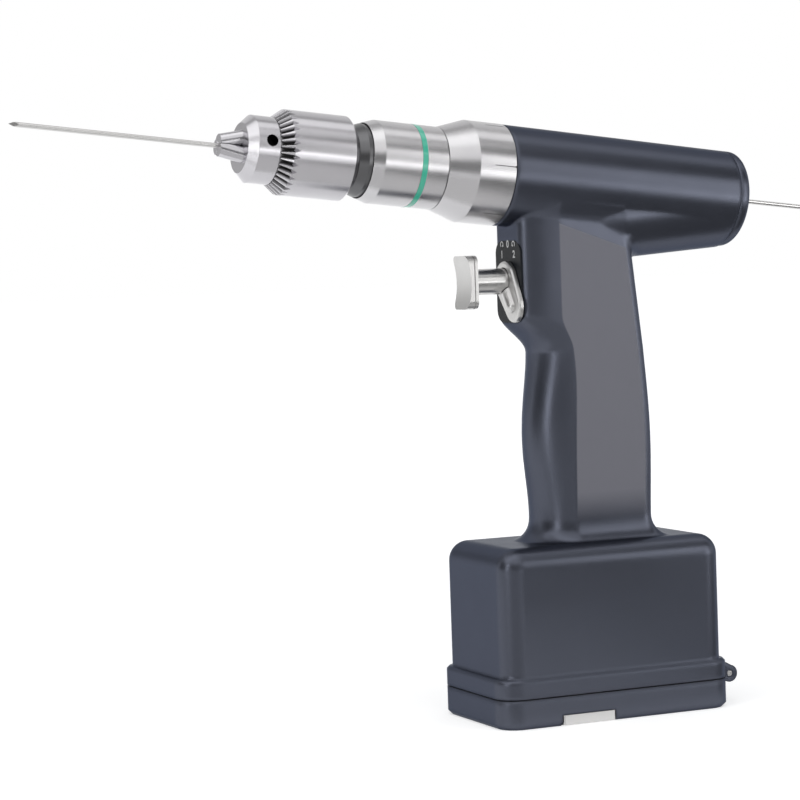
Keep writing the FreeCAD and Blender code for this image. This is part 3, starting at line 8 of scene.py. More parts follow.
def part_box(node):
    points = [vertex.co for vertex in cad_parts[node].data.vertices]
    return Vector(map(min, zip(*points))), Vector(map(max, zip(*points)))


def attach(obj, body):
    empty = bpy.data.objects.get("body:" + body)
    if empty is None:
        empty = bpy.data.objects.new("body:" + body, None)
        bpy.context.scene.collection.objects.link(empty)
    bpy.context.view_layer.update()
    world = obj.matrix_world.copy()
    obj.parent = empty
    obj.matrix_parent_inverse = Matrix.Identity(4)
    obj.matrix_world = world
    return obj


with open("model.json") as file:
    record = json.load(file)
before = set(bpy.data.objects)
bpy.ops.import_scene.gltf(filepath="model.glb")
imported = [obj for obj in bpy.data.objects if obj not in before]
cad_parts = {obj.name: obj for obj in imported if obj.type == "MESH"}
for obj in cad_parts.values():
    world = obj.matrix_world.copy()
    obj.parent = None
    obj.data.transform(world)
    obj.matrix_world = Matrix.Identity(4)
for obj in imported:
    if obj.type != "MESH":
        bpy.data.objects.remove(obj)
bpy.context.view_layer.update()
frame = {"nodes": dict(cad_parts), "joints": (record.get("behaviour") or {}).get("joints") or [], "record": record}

# A cannulated surgical power drill, dressed over its CAD solids. Metres throughout.
# "Station" is the distance along the barrel from the front end of the black casting,
# negative towards the chuck; "clock" is degrees round the barrel from straight up towards +Y.

spin = next(joint for joint in frame["joints"] if joint["name"] == "spindle_spin")
barrelStart = Vector(spin["pos_m"])
barrelAxis = Vector(spin["axis"]).normalized()
barrelUp = Vector((-barrelAxis.z, 0, barrelAxis.x))
barrelSide = Vector((0, 1, 0))


# Camera, where the photograph was taken from

camera = {
    "place": (-0.47992, -0.91179, 0.17512),
    "right": (0.91224605, -0.40815746, -0.03485167),
    "up": (0.05315626, 0.03358725, 0.9980212),
    "forward": (0.40617922, 0.91229348, -0.05233596),
    "lens": 121.5,
}


def placeCamera():
    right, up, forward = Vector(camera["right"]), Vector(camera["up"]), Vector(camera["forward"])
    lens = bpy.data.cameras.new("photoCamera")
    lens.lens = camera["lens"]
    lens.sensor_width = 36.0
    lens.clip_start = 0.02
    lens.clip_end = 60.0
    body = bpy.data.objects.new("photoCamera", lens)
    turn = Matrix((right, up, -forward)).transposed().to_4x4()
    body.matrix_world = Matrix.Translation(camera["place"]) @ turn
    bpy.context.scene.collection.objects.link(body)
    bpy.context.scene.camera = body


placeCamera()
print("camera placed")


# Shader maths: a Signal is one socket, and arithmetic on it adds Math nodes

class Signal:
    def __init__(self, finish, socket):
        self.finish = finish
        self.socket = socket

    def of(self, name):
        return Signal(self.finish, self.socket.node.outputs[name])

    def maths(self, operation, first, second=0.0):
        return self.finish.add("ShaderNodeMath", {"operation": operation}, {0: first, 1: second})

    def __add__(self, other):
        return self.maths("ADD", self, other)

    def __radd__(self, other):
        return self.maths("ADD", other, self)

    def __sub__(self, other):
        return self.maths("SUBTRACT", self, other)

    def __rsub__(self, other):
        return self.maths("SUBTRACT", other, self)

    def __mul__(self, other):
        return self.maths("MULTIPLY", self, other)

    def __truediv__(self, other):
        return self.maths("DIVIDE", self, other)

    def __mod__(self, other):
        return self.maths("FLOORED_MODULO", self, other)

    def __gt__(self, other):
        return self.maths("GREATER_THAN", self, other)

    def __lt__(self, other):
        return self.maths("LESS_THAN", self, other)

    def __abs__(self):
        return self.maths("ABSOLUTE", self)

    def root(self):
        return self.maths("SQRT", self)

    def clamped(self):
        return self.most(0.0).least(1.0)

    def least(self, other):
        return self.maths("MINIMUM", self, other)

    def most(self, other):
        return self.maths("MAXIMUM", self, other)


class Finish:
    def __init__(self, name):
        self.material = bpy.data.materials.new(name)
        self.material.use_nodes = True
        self.tree = self.material.node_tree
        self.tree.nodes.clear()
        self.place = self.add("ShaderNodeTexCoord").of("Object")

    def add(self, kind, settings=None, inputs=None):
        node = self.tree.nodes.new(kind)
        for name, value in (settings or {}).items():
            setattr(node, name, value)
        for key, value in (inputs or {}).items():
            if isinstance(value, Signal):
                self.tree.links.new(value.socket, node.inputs[key])
            else:
                node.inputs[key].default_value = value
        return Signal(self, node.outputs[0]) if len(node.outputs) else None

    def noise(self, scale, detail=2.0, roughness=0.5, vector=None):
        return self.add("ShaderNodeTexNoise", None, {"Vector": vector or self.place, "Scale": scale,
                                                     "Detail": detail, "Roughness": roughness})

    def mixed(self, amount, first, second):
        node = self.add("ShaderNodeMix", {"data_type": "RGBA"}, {0: amount, 6: first, 7: second})
        return Signal(self, node.socket.node.outputs[2])

    def dot(self, direction, origin=(0, 0, 0)):
        moved = self.add("ShaderNodeVectorMath", {"operation": "SUBTRACT"},
                         {0: self.place, 1: tuple(origin)})
        return self.add("ShaderNodeVectorMath", {"operation": "DOT_PRODUCT"},
                        {0: moved, 1: tuple(direction)}).of("Value")

    def fromAxis(self, direction, origin):
        # how far along an axis a point is, and how far from it
        moved = self.add("ShaderNodeVectorMath", {"operation": "SUBTRACT"},
                         {0: self.place, 1: tuple(origin)})
        along = self.add("ShaderNodeVectorMath", {"operation": "DOT_PRODUCT"},
                         {0: moved, 1: tuple(direction)}).of("Value")
        whole = self.add("ShaderNodeVectorMath", {"operation": "LENGTH"}, {0: moved}).of("Value")
        return along, (whole * whole - along * along).most(0.0).root()

    def softEdge(self, radius):
        return self.add("ShaderNodeBevel", {"samples": 6}, {"Radius": radius})

    def bump(self, height, depth, strength=1.0, under=None):
        inputs = {"Height": height, "Distance": depth, "Strength": strength}
        if under is not None:
            inputs["Normal"] = under
        return self.add("ShaderNodeBump", None, inputs)

    def surface(self, inputs):
        shader = self.add("ShaderNodeBsdfPrincipled", None, inputs)
        self.add("ShaderNodeOutputMaterial", None, {"Surface": shader})
        return self.material


def rgb(red, green, blue):
    return (red, green, blue, 1.0)


# Finishes. Each maker returns a material; its look is in the dictionary beside it.

casting = {
    "colour": rgb(0.092, 0.099, 0.125),
    "shade": rgb(0.082, 0.089, 0.115),
    # lighter colour of the grip's flat sides, a painted sheen for the soft light they reflect
    "panel": rgb(0.200, 0.200, 0.228),
    "panelHalfWidth": 0.01492,
    "panelLow": 0.074,
    "panelHigh": 0.1816,
    "panelFall": -0.353,
    "sideSharpness": 12000.0,
    "lowSharpness": 90.0,
    "highSharpness": 4000.0,
    "metallic": 0.86,
    "roughness": 0.30,
    "panelDullness": 0.22,
    "mottle": 24.0,
    "handling": 90.0,
    "grain": 2600.0,
    "grainDepth": 0.00004,
    "edge": 0.0022,
}


def coatedCasting():
    finish = Finish("coatedCasting")
    mottle = finish.noise(casting["mottle"], 4.0)
    grain = finish.noise(casting["grain"], 2.0)
    handling = finish.noise(casting["handling"], 3.0)
    normal = finish.bump(grain, casting["grainDepth"], 0.55, finish.softEdge(casting["edge"]))
    # painted sheen: the flat sides of the grip, up to a slanting line under the barrel, are made matt and painted
    # lighter, standing in for the soft light their flat faces reflect
    along, across, height = finish.dot((1, 0, 0)), abs(finish.dot((0, 1, 0))), finish.dot((0, 0, 1))
    flat = ((across - casting["panelHalfWidth"]) * casting["sideSharpness"]).clamped()
    above = ((height - casting["panelLow"]) * casting["lowSharpness"]).clamped()
    slant = casting["panelHigh"] + along * casting["panelFall"]
    below = ((slant - height) * casting["highSharpness"]).clamped()
    panel = flat * above * below
    plain = finish.mixed(mottle, casting["colour"], casting["shade"])
    return finish.surface({
        "Base Color": finish.mixed(panel, plain, casting["panel"]),
        "Roughness": casting["roughness"] + (handling - 0.5) * 0.10 + panel * casting["panelDullness"],
        "Normal": normal,
        "Metallic": casting["metallic"] - panel * casting["metallic"],
        "Specular IOR Level": 0.4,
        "Specular Tint": rgb(0.35, 0.37, 0.42),
    })


blasted = {
    "colour": rgb(0.60, 0.59, 0.60),
    "shade": rgb(0.53, 0.525, 0.54),
    "roughness": 0.25,
    "grain": 3800.0,
    "grainDepth": 0.00003,
    "edge": 0.0003,
}


def blastedSteel():
    finish = Finish("blastedSteel")
    cloud = finish.noise(60.0, 5.0)
    grain = finish.noise(blasted["grain"], 2.0)
    normal = finish.bump(grain, blasted["grainDepth"], 0.6, finish.softEdge(blasted["edge"]))
    return finish.surface({
        "Base Color": finish.mixed(cloud, blasted["colour"], blasted["shade"]),
        "Metallic": 1.0,
        "Roughness": blasted["roughness"] + (cloud - 0.5) * 0.08,
        "Normal": normal,
    })


lathe = {
    "lines": 9000.0,
    "depth": 0.000006,
    "strength": 0.8,
    "edge": 0.0002,
    "cloud": 70.0,
    "ringGloss": 0.16,
    "cloudGloss": 0.05,
}


def latheRings(finish, station):
    # fine rings left by the lathe, which run round the barrel's axis
    return finish.add("ShaderNodeTexNoise", {"noise_dimensions": "1D"},
                      {"W": station * lathe["lines"], "Scale": 1.0, "Detail": 3.0, "Roughness": 0.7})


def turnedSteel(name, colour, shade, roughness):
    finish = Finish(name)
    rings = latheRings(finish, finish.dot(barrelAxis, barrelStart))
    cloud = finish.noise(lathe["cloud"], 4.0)
    normal = finish.bump(rings, lathe["depth"], lathe["strength"], finish.softEdge(lathe["edge"]))
    return finish.surface({
        "Base Color": finish.mixed(cloud, colour, shade),
        "Metallic": 1.0,
        "Roughness": (roughness + (rings - 0.5) * lathe["ringGloss"]
                      + (cloud - 0.5) * lathe["cloudGloss"]),
        "Normal": normal,
    })


# sizes and colour of the painted shade in the chuck's key holes and between its bevel teeth
chuckPaintedShade = {
    "holeReach": 0.00226,
    "holeTop": 0.0022,
    "holeEnd": -0.0036,
    "teethStart": -0.0932,
    "teethEnd": -0.0889,
    "teethRadius": 0.0125,
    "teethRise": 0.756,
    "grooveDepth": 0.0011,
    "before": 0.0002,
    "tips": 0.0001,
    "darkest": 0.92,
    "dullness": 0.25,
    "paintedShade": rgb(0.035, 0.034, 0.034),
}


def chuckSteel(name, colour, shade, roughness):
    # turned steel, with painted shade in the key holes and in the roots between the bevel teeth
    finish = Finish(name)
    station, radius = finish.fromAxis(barrelAxis, barrelStart)
    rings = latheRings(finish, station)
    cloud = finish.noise(lathe["cloud"], 4.0)
    cone = (station - chuckPaintedShade["teethStart"]) * chuckPaintedShade["teethRise"] + chuckPaintedShade["teethRadius"]
    first = chuckPaintedShade["teethStart"] - chuckPaintedShade["before"]
    among = (station > first) * (station < chuckPaintedShade["teethEnd"])
    sunk = (cone - radius - chuckPaintedShade["tips"]) / chuckPaintedShade["grooveDepth"]
    dark = among * sunk.clamped() * chuckPaintedShade["darkest"]
    for mount in frame["record"]["mounts"]:
        if mount["name"].startswith("key_hole"):
            along, apart = finish.fromAxis(mount["axis"], mount["pos_m"])
            dark = dark.most((apart < chuckPaintedShade["holeReach"]) * (along < chuckPaintedShade["holeTop"])
                             * (along > chuckPaintedShade["holeEnd"]))
    normal = finish.bump(rings, lathe["depth"], lathe["strength"], finish.softEdge(lathe["edge"]))
    return finish.surface({
        "Base Color": finish.mixed(dark, finish.mixed(cloud, colour, shade), chuckPaintedShade["paintedShade"]),
        "Metallic": 1.0,
        "Roughness": (roughness + (rings - 0.5) * lathe["ringGloss"]
                      + (cloud - 0.5) * lathe["cloudGloss"] + dark * chuckPaintedShade["dullness"]),
        "Normal": normal,
    })


def plainMetal(name, colour, shade, roughness, grain=1800.0, depth=0.00001, edge=0.0002):
    finish = Finish(name)
    cloud = finish.noise(120.0, 4.0)
    fine = finish.noise(grain, 2.0)
    normal = finish.bump(fine, depth, 0.5, finish.softEdge(edge))
    return finish.surface({
        "Base Color": finish.mixed(cloud, colour, shade),
        "Metallic": 1.0,
        "Roughness": roughness + (cloud - 0.5) * 0.12,
        "Normal": normal,
    })


def laminatedSteel():
    # a stack of thin sheets, so fine grooves follow one another along the barrel
    finish = Finish("laminatedSteel")
    station = finish.dot(barrelAxis, barrelStart)
    sheet = abs((station * 2000.0) % 1.0 - 0.5) * 2.0
    cloud = finish.noise(150.0, 3.0)
    return finish.surface({
        "Base Color": finish.mixed(cloud, rgb(0.20, 0.20, 0.22), rgb(0.28, 0.27, 0.27)),
        "Metallic": 1.0,
        "Roughness": 0.5 + sheet * 0.15,
        "Normal": finish.bump(sheet, 0.00008, 0.6),
    })


def enamelledCopper():
    finish = Finish("enamelledCopper")
    station = finish.dot(barrelAxis, barrelStart)
    strand = abs((station * 1600.0) % 1.0 - 0.5) * 2.0
    cloud = finish.noise(300.0, 3.0)
    return finish.surface({
        "Base Color": finish.mixed(cloud, rgb(0.55, 0.20, 0.08), rgb(0.72, 0.33, 0.15)),
        "Metallic": 0.9,
        "Roughness": 0.32 + cloud * 0.12,
        "Normal": finish.bump(strand, 0.00018, 0.9),
        "Coat Weight": 0.5,
        "Coat Roughness": 0.15,
    })


def moulded(name, colour, shade, roughness, grain=1400.0, depth=0.00003, coat=0.0, shine=0.5):
    finish = Finish(name)
    cloud = finish.noise(45.0, 4.0)
    fine = finish.noise(grain, 3.0)
    return finish.surface({
        "Base Color": finish.mixed(cloud, colour, shade),
        "Roughness": roughness + (fine - 0.5) * 0.10,
        "Normal": finish.bump(fine, depth, 0.6, finish.softEdge(0.0003)),
        "Coat Weight": coat,
        "Coat Roughness": 0.08,
        "Specular IOR Level": shine,
    })


def circuitBoard():
    finish = Finish("circuitBoard")
    cells = finish.add("ShaderNodeTexVoronoi", {"feature": "DISTANCE_TO_EDGE"},
                       {"Vector": finish.place, "Scale": 420.0})
    track = cells < 0.10
    weave = finish.noise(2200.0, 2.0)
    return finish.surface({
        "Base Color": finish.mixed(track, rgb(0.015, 0.14, 0.06), rgb(0.03, 0.24, 0.10)),
        "Roughness": 0.38 + (weave - 0.5) * 0.1,
        "Normal": finish.bump(track, 0.00004, 0.6),
        "Coat Weight": 0.4,
        "Coat Roughness": 0.2,
    })


finishes = {
    "casting": coatedCasting(),
    "blasted_steel": blastedSteel(),
    "chuck_steel": chuckSteel("chuckSteel", rgb(0.57, 0.56, 0.58), rgb(0.51, 0.50, 0.525), 0.22),
    "bright_steel": turnedSteel("brightSteel", rgb(0.64, 0.63, 0.62), rgb(0.58, 0.575, 0.57), 0.27),
    "dark_steel": turnedSteel("darkSteel", rgb(0.16, 0.16, 0.165), rgb(0.12, 0.12, 0.125), 0.30),
    "spring_steel": plainMetal("springSteel", rgb(0.45, 0.45, 0.47), rgb(0.36, 0.36, 0.38), 0.30),
    "bearing_steel": plainMetal("bearingSteel", rgb(0.62, 0.62, 0.64), rgb(0.55, 0.55, 0.57), 0.22),
    "magnet": plainMetal("nickelledMagnet", rgb(0.34, 0.34, 0.36), rgb(0.28, 0.28, 0.30), 0.30),
    "bronze": plainMetal("bearingBronze", rgb(0.58, 0.38, 0.17), rgb(0.48, 0.30, 0.13), 0.38),
    "gold_contact": plainMetal("goldContact", rgb(0.85, 0.62, 0.24), rgb(0.78, 0.55, 0.20), 0.22),
    "aluminium": plainMetal("machinedAluminium", rgb(0.72, 0.72, 0.74), rgb(0.66, 0.66, 0.68), 0.34),
    "lamination": laminatedSteel(),
    "copper": enamelledCopper(),
    "board": circuitBoard(),
    "green_ring": moulded("greenEnamel", rgb(0.07, 0.57, 0.39), rgb(0.055, 0.51, 0.35), 0.20, coat=0.6),
    "label": moulded("darkEnamel", rgb(0.012, 0.014, 0.018), rgb(0.010, 0.012, 0.016), 0.40,
                     shine=0.12),
    "black_plastic": moulded("blackPlastic", rgb(0.028, 0.028, 0.030), rgb(0.022, 0.022, 0.024), 0.45),
    "battery_wrap": moulded("cellSleeve", rgb(0.05, 0.11, 0.30), rgb(0.04, 0.09, 0.25), 0.28, coat=0.5),
    "seal": moulded("siliconeSeal", rgb(0.02, 0.02, 0.022), rgb(0.015, 0.015, 0.017), 0.60),
}
print("finishes made")

satinSteel = plainMetal("satinSteel", rgb(0.60, 0.595, 0.585), rgb(0.55, 0.545, 0.54), 0.36, 900.0,
                        0.000006, 0.0)
ownFinishes = {"trigger_head": satinSteel, "selector_lever": satinSteel, "latch_near": satinSteel,
               "latch_far": satinSteel}

slots = {part["node"]: part["material_slot"] for part in frame["record"]["subparts"]}
for name, node in frame["nodes"].items():
    node.data.materials.clear()
    node.data.materials.append(ownFinishes.get(name, finishes[slots[name]]))
print("solids dressed")


# Front ring: fine axial lines, cut round it in front of the casting, one with a dot at its end

ringMarks = {
    "count": 6,
    "start": -0.0112,
    "end": -0.0026,
    "width": 0.00028,
    "depth": 0.00006,
    "firstClock": -84.0,
    "dot": 0.00042,
    "dotInset": 0.0002,
}


def inkFinish(name, colour, roughness):
    finish = Finish(name)
    cloud = finish.noise(900.0, 3.0)
    darker = tuple(0.8 * part for part in colour[:3]) + (1.0,)
    return finish.surface({
        "Base Color": finish.mixed(cloud, colour, darker),
        "Roughness": roughness + (cloud - 0.5) * 0.1,
    })


darkInk = inkFinish("darkInk", rgb(0.05, 0.05, 0.055), 0.5)
whiteInk = inkFinish("whiteInk", rgb(0.88, 0.88, 0.88), 0.5)


def socket(modifier, name):
    for item in modifier.node_group.interface.items_tree:
        if item.item_type == "SOCKET" and item.in_out == "INPUT" and item.name == name:
            return item.identifier


def ringOfMarks(material, values):
    # a bar along X, repeated round the X axis
    tree = bpy.data.node_groups.new("ringOfMarks", "GeometryNodeTree")
    tree.interface.new_socket("Geometry", in_out="OUTPUT", socket_type="NodeSocketGeometry")
    for name in ("Radius", "Length", "Width", "Depth"):
        tree.interface.new_socket(name, in_out="INPUT", socket_type="NodeSocketFloat")
    tree.interface.new_socket("Count", in_out="INPUT", socket_type="NodeSocketInt")
    nodes, links = tree.nodes, tree.links
    given = nodes.new("NodeGroupInput")
    circle = nodes.new("GeometryNodeMeshCircle")
    links.new(given.outputs["Count"], circle.inputs["Vertices"])
    links.new(given.outputs["Radius"], circle.inputs["Radius"])
    size = nodes.new("ShaderNodeCombineXYZ")
    links.new(given.outputs["Depth"], size.inputs[0])
    links.new(given.outputs["Width"], size.inputs[1])
    links.new(given.outputs["Length"], size.inputs[2])
    bar = nodes.new("GeometryNodeMeshCube")
    links.new(size.outputs[0], bar.inputs["Size"])
    place = nodes.new("GeometryNodeInputPosition")
    face = nodes.new("FunctionNodeAlignRotationToVector")
    face.axis = "X"
    face.pivot_axis = "Z"
    links.new(place.outputs[0], face.inputs["Vector"])
    copies = nodes.new("GeometryNodeInstanceOnPoints")
    links.new(circle.outputs["Mesh"], copies.inputs["Points"])
    links.new(bar.outputs["Mesh"], copies.inputs["Instance"])
    links.new(face.outputs["Rotation"], copies.inputs["Rotation"])
    real = nodes.new("GeometryNodeRealizeInstances")
    links.new(copies.outputs["Instances"], real.inputs[0])
    paint = nodes.new("GeometryNodeSetMaterial")
    paint.inputs["Material"].default_value = material
    links.new(real.outputs[0], paint.inputs[0])
    out = nodes.new("NodeGroupOutput")
    links.new(paint.outputs[0], out.inputs[0])
    holder = bpy.data.objects.new("marksMaker", bpy.data.meshes.new("marksMaker"))
    bpy.context.scene.collection.objects.link(holder)
    modifier = holder.modifiers.new("marks", "NODES")
    modifier.node_group = tree
    for name, value in values.items():
        modifier[socket(modifier, name)] = value
    ready = holder.evaluated_get(bpy.context.evaluated_depsgraph_get())
    mesh = bpy.data.meshes.new_from_object(ready)
    holder.modifiers.remove(modifier)
    bpy.data.objects.remove(holder)
    return mesh


def barrelFrame(station, clock):
    # from marks round the Z axis, X outwards at the first, to the barrel at this station and clock
    turn = math.radians(clock)
    out = barrelUp * math.cos(turn) + barrelSide * math.sin(turn)
    side = barrelAxis.cross(out)
    place = barrelStart + barrelAxis * station
    return Matrix.Translation(place) @ Matrix((out, side, barrelAxis)).transposed().to_4x4()


def addPiece(name, mesh, body, material=None):
    piece = bpy.data.objects.new(name, mesh)
    bpy.context.scene.collection.objects.link(piece)
    if material:
        mesh.materials.clear()
        mesh.materials.append(material)
    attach(piece, body)
    return piece


def nodeRadius(name, station, width=0.0004):
    # outer radius of a turned node at a station, read from its mesh
    best = 0.0
    for vertex in frame["nodes"][name].data.vertices:
        apart = vertex.co - barrelStart
        if abs(apart.dot(barrelAxis) - station) < width:
            best = max(best, (apart - barrelAxis * apart.dot(barrelAxis)).length)
    return best


def markFrontRing():
    start, end = ringMarks["start"], ringMarks["end"]
    reach = max(nodeRadius("front_ring", end - 0.0004 * step) for step in range(4))
    mesh = ringOfMarks(darkInk, {"Radius": reach - 0.3 * ringMarks["depth"], "Length": end - start,
                                 "Width": ringMarks["width"], "Depth": ringMarks["depth"],
                                 "Count": ringMarks["count"]})
    mesh.transform(barrelFrame(0.5 * (start + end), ringMarks["firstClock"]))
    addPiece("front_ring_lines", mesh, "handpiece")
    spot = bmesh.new()
    bmesh.ops.create_cone(spot, segments=16, radius1=ringMarks["dot"], radius2=ringMarks["dot"],
                          depth=ringMarks["depth"], cap_ends=True)
    mesh = bpy.data.meshes.new("front_ring_dot")
    spot.to_mesh(mesh)
    spot.free()
    onRing = barrelFrame(end - ringMarks["dotInset"], ringMarks["firstClock"])
    laid = Matrix.Translation((reach, 0, 0)) @ Matrix.Rotation(math.radians(90), 4, "Y")
    mesh.transform(onRing @ laid)
    addPiece("front_ring_dot", mesh, "handpiece", darkInk)
    print("front ring marked, radius", round(reach * 1000, 2))


markFrontRing()


# Label: plain numbers and turning arrows above the selector

labelMarks = {
    "height": 0.0028,
    "thickness": 0.00005,
    "lift": 0.00002,
    "bolder": 0.00010,
    "numbers": (("0", 0.0, 0.1790), ("1", 0.0050, 0.1751), ("2", -0.0050, 0.1751)),
    "arrows": ((-0.0048, 0.1790, 1), (0.0048, 0.1790, -1)),
    "arrowRadius": 0.00105,
    "arrowWidth": 0.00042,
    "arrowWing": 1.7,
}


def labelNumber(text):
    curve = bpy.data.curves.new("labelNumber", "FONT")
    curve.body = text
    curve.size = labelMarks["height"] / 0.72
    curve.align_x = "CENTER"
    curve.align_y = "CENTER"
    curve.resolution_u = 4
    curve.extrude = 0.5 * labelMarks["thickness"]
    curve.offset = labelMarks["bolder"]
    holder = bpy.data.objects.new("labelNumber", curve)
    bpy.context.scene.collection.objects.link(holder)
    mesh = bpy.data.meshes.new_from_object(holder.evaluated_get(bpy.context.evaluated_depsgraph_get()))
    bpy.data.objects.remove(holder)
    return mesh


def labelArrow(side):
    # open ring with a head, turning outwards
    form = bmesh.new()
    radius, width = labelMarks["arrowRadius"], labelMarks["arrowWidth"]
    steps = 22
    rows = []
    for step in range(steps + 1):
        turn = math.radians(-50 + 250 * step / steps)
        c, s = math.cos(turn) * side, math.sin(turn)
        rows.append([form.verts.new((c * (radius + shift), s * (radius + shift), 0))
                     for shift in (-0.5 * width, 0.5 * width)])
    for low, high in zip(rows, rows[1:]):
        form.faces.new((low[0], low[1], high[1], high[0]))
    turn = math.radians(200)
    tip = math.radians(248)
    wing = labelMarks["arrowWing"] * width
    head = [form.verts.new((math.cos(angle) * side * far, math.sin(angle) * far, 0))
            for angle, far in ((turn, radius - wing), (turn, radius + wing), (tip, radius))]
    form.faces.new(head)
    raised = bmesh.ops.extrude_face_region(form, geom=form.faces[:])["geom"]
    bmesh.ops.translate(form, vec=(0, 0, labelMarks["thickness"]),
                        verts=[part for part in raised if isinstance(part, bmesh.types.BMVert)])
    bmesh.ops.recalc_face_normals(form, faces=form.faces)
    mesh = bpy.data.meshes.new("labelArrow")
    form.to_mesh(mesh)
    form.free()
    return mesh


def printLabel():
    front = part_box("label_plate")[0][0] - labelMarks["lift"]
    upright = Matrix(((0, 0, -1), (-1, 0, 0), (0, 1, 0))).to_4x4()     # reads from the front, -X
    form = bmesh.new()
    for text, y, z in labelMarks["numbers"]:
        mesh = labelNumber(text)
        mesh.transform(Matrix.Translation((front, y, z)) @ upright)
        form.from_mesh(mesh)
    for y, z, side in labelMarks["arrows"]:
        mesh = labelArrow(side)
        mesh.transform(Matrix.Translation((front, y, z)) @ upright)
        form.from_mesh(mesh)
    mesh = bpy.data.meshes.new("label_marks")
    form.to_mesh(mesh)
    form.free()
    addPiece("label_marks", mesh, "handpiece", whiteInk)


printLabel()


# Stage: a pale floor that keeps the shadow, a white surround, soft lamps, and light and dark
# boards that only reflections see, for the bands along the metal

stage = {
    "floor": rgb(0.80, 0.80, 0.80),
    "floorReach": 14.0,
    "lift": 0.55,
    "surround": 0.29,
    "farLift": 0.32,
    "farStart": 0.35,
    "farWidth": 1.1,
    "tentReach": (0.25, 3.4),
    "darkTentReach": (-1.9, 0.25),
    "tentRadius": 1.9,
    "tentHeight": 0.19,
    "tentStrips": ((-5.7, 0.5, 2.9), (0.5, 38.0, 0.66), (38.0, 78.0, 0.10),
                   (78.0, 104.0, 1.25), (104.0, 150.0, 0.42), (150.0, 174.0, 0.50)),
    "darkTentStrips": ((-5.7, 60.0, 0.24), (60.0, 110.0, 0.70), (110.0, 174.0, 0.50)),
    "boards": {
        "leftBoard": (0.10, ((-1.9, -2.0, 0.0), (-1.9, 0.9, 0.0), (-1.9, 0.9, 1.6), (-1.9, -2.0, 1.6))),
        "gripBoard": (0.06, ((0.05, -0.35, 0.040), (0.26, -0.35, 0.040), (0.26, -0.35, 0.118),
                             (0.05, -0.35, 0.118))),
        "shadyFloor": (0.22, ((0.07, -0.6, 0.0012), (0.9, -0.6, 0.0012), (0.9, -0.03, 0.0012),
                              (0.07, -0.03, 0.0012))),
        "frontFloor": (0.74, ((-0.6, -0.9, 0.0010), (0.07, -0.9, 0.0010), (0.07, -0.04, 0.0010),
                              (-0.6, -0.04, 0.0010))),
    },
    # place, aim, size and watts of each lamp
    "lamps": {
        "overhead": ((-0.35, -0.45, 1.15), (0, 0, 0.15), (2.2, 1.5), 9.5),
        "leftSide": ((-1.1, -0.50, 0.36), (0, 0, 0.12), (0.22, 0.66), 1.9),
        "rightFill": ((0.85, -0.95, 0.45), (0, 0, 0.12), (0.6, 0.9), 2.6),
        "behind": ((0.35, 0.9, 0.6), (0, 0, 0.15), (1.6, 1.4), 2.5),
    },
}


def layFloor():
    mesh = bpy.data.meshes.new("floor")
    reach = stage["floorReach"]
    corners = [(-reach, -reach, 0), (reach, -reach, 0), (reach, reach, 0), (-reach, reach, 0)]
    mesh.from_pydata(corners, [], [(0, 1, 2, 3)])
    floor = bpy.data.objects.new("floor", mesh)
    bpy.context.scene.collection.objects.link(floor)
    finish = Finish("paleFloor")
    path = finish.add("ShaderNodeLightPath")
    shown = path.of("Is Camera Ray").most(path.of("Is Glossy Ray")).most(path.of("Is Transmission Ray"))
    away = finish.add("ShaderNodeVectorMath", {"operation": "LENGTH"}, {0: finish.place}).of("Value")
    far = ((away - stage["farStart"]) / stage["farWidth"]).clamped()
    matt = finish.add("ShaderNodeBsdfDiffuse", None, {"Color": stage["floor"]})
    glow = finish.add("ShaderNodeEmission", None,
                      {"Color": rgb(1, 1, 1),
                       "Strength": shown * (stage["lift"] + far * stage["farLift"])})
    both = finish.add("ShaderNodeAddShader", None, {0: matt, 1: glow})
    finish.add("ShaderNodeOutputMaterial", None, {"Surface": both})
    floor.data.materials.append(finish.material)


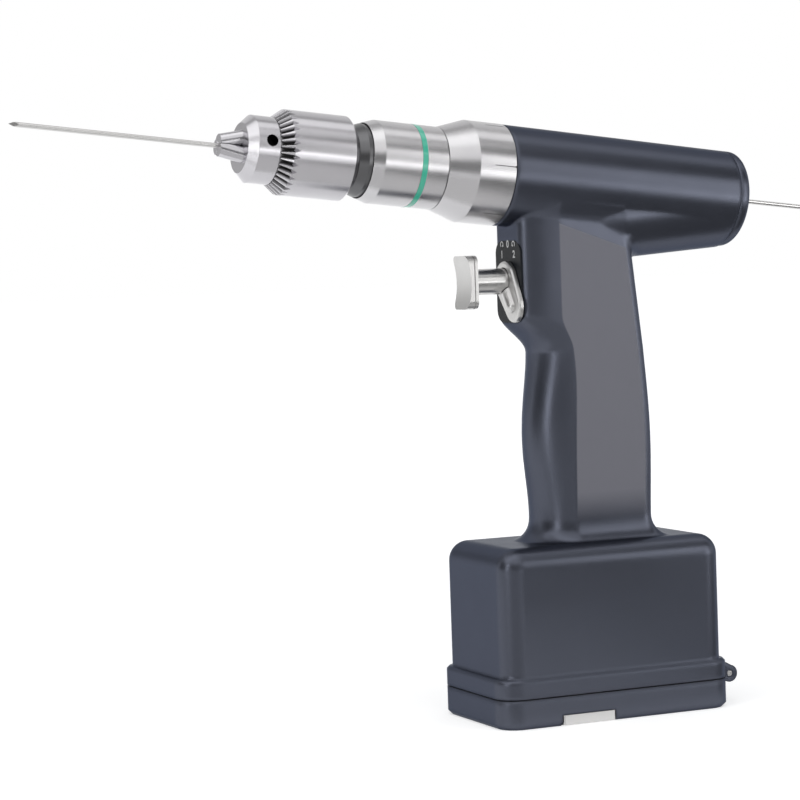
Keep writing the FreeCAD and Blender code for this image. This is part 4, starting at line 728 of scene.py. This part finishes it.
def lightWorld():
    world = bpy.data.worlds.new("studio")
    bpy.context.scene.world = world
    world.use_nodes = True
    tree = world.node_tree
    tree.nodes.clear()
    path = tree.nodes.new("ShaderNodeLightPath")
    spread = tree.nodes.new("ShaderNodeBackground")
    spread.inputs["Color"].default_value = rgb(0.95, 0.97, 1.0)
    spread.inputs["Strength"].default_value = stage["surround"]
    seen = tree.nodes.new("ShaderNodeBackground")
    seen.inputs["Color"].default_value = rgb(1, 1, 1)
    seen.inputs["Strength"].default_value = 1.0
    shown = path.outputs["Is Camera Ray"]
    for ray in ("Is Glossy Ray", "Is Transmission Ray"):
        either = tree.nodes.new("ShaderNodeMath")
        either.operation = "MAXIMUM"
        tree.links.new(shown, either.inputs[0])
        tree.links.new(path.outputs[ray], either.inputs[1])
        shown = either.outputs[0]
    mix = tree.nodes.new("ShaderNodeMixShader")
    out = tree.nodes.new("ShaderNodeOutputWorld")
    tree.links.new(shown, mix.inputs[0])
    tree.links.new(spread.outputs[0], mix.inputs[1])
    tree.links.new(seen.outputs[0], mix.inputs[2])
    tree.links.new(mix.outputs[0], out.inputs["Surface"])


def softLamp(name, place, aim, size, power):
    lamp = bpy.data.lights.new(name, "AREA")
    lamp.shape = "RECTANGLE"
    lamp.size, lamp.size_y = size
    lamp.energy = power
    body = bpy.data.objects.new(name, lamp)
    away = (Vector(place) - Vector(aim)).normalized()
    body.matrix_world = Matrix.Translation(place) @ away.to_track_quat("Z", "Y").to_matrix().to_4x4()
    bpy.context.scene.collection.objects.link(body)


def reflectedBoard(name, corners, shade):
    mesh = bpy.data.meshes.new(name)
    mesh.from_pydata(corners, [], [(0, 1, 2, 3)])
    board = bpy.data.objects.new(name, mesh)
    bpy.context.scene.collection.objects.link(board)
    finish = Finish(name)
    glow = finish.add("ShaderNodeEmission", None, {"Color": rgb(1, 1, 1), "Strength": shade})
    finish.add("ShaderNodeOutputMaterial", None, {"Surface": glow})
    mesh.materials.append(finish.material)
    for kind in ("camera", "diffuse", "transmission", "volume_scatter", "shadow"):
        setattr(board, "visible_" + kind, False)


def pitchTent():
    # strips along X, round the barrel at a distance, by angle from the camera's side upwards
    for strips, reach in (("tentStrips", "tentReach"), ("darkTentStrips", "darkTentReach")):
        low, high = stage[reach]
        for first, last, shade in stage[strips]:
            edge = [(-stage["tentRadius"] * math.cos(math.radians(angle)),
                     stage["tentHeight"] + stage["tentRadius"] * math.sin(math.radians(angle)))
                    for angle in (first, last)]
            corners = [(low,) + edge[0], (high,) + edge[0], (high,) + edge[1], (low,) + edge[1]]
            reflectedBoard("tentStrip", corners, shade)


layFloor()
lightWorld()
for lampName, lampValues in stage["lamps"].items():
    softLamp(lampName, *lampValues)
pitchTent()
for boardName, (boardShade, boardCorners) in stage["boards"].items():
    reflectedBoard(boardName, boardCorners, boardShade)
bpy.context.scene.view_settings.view_transform = "Standard"
print("stage lit")
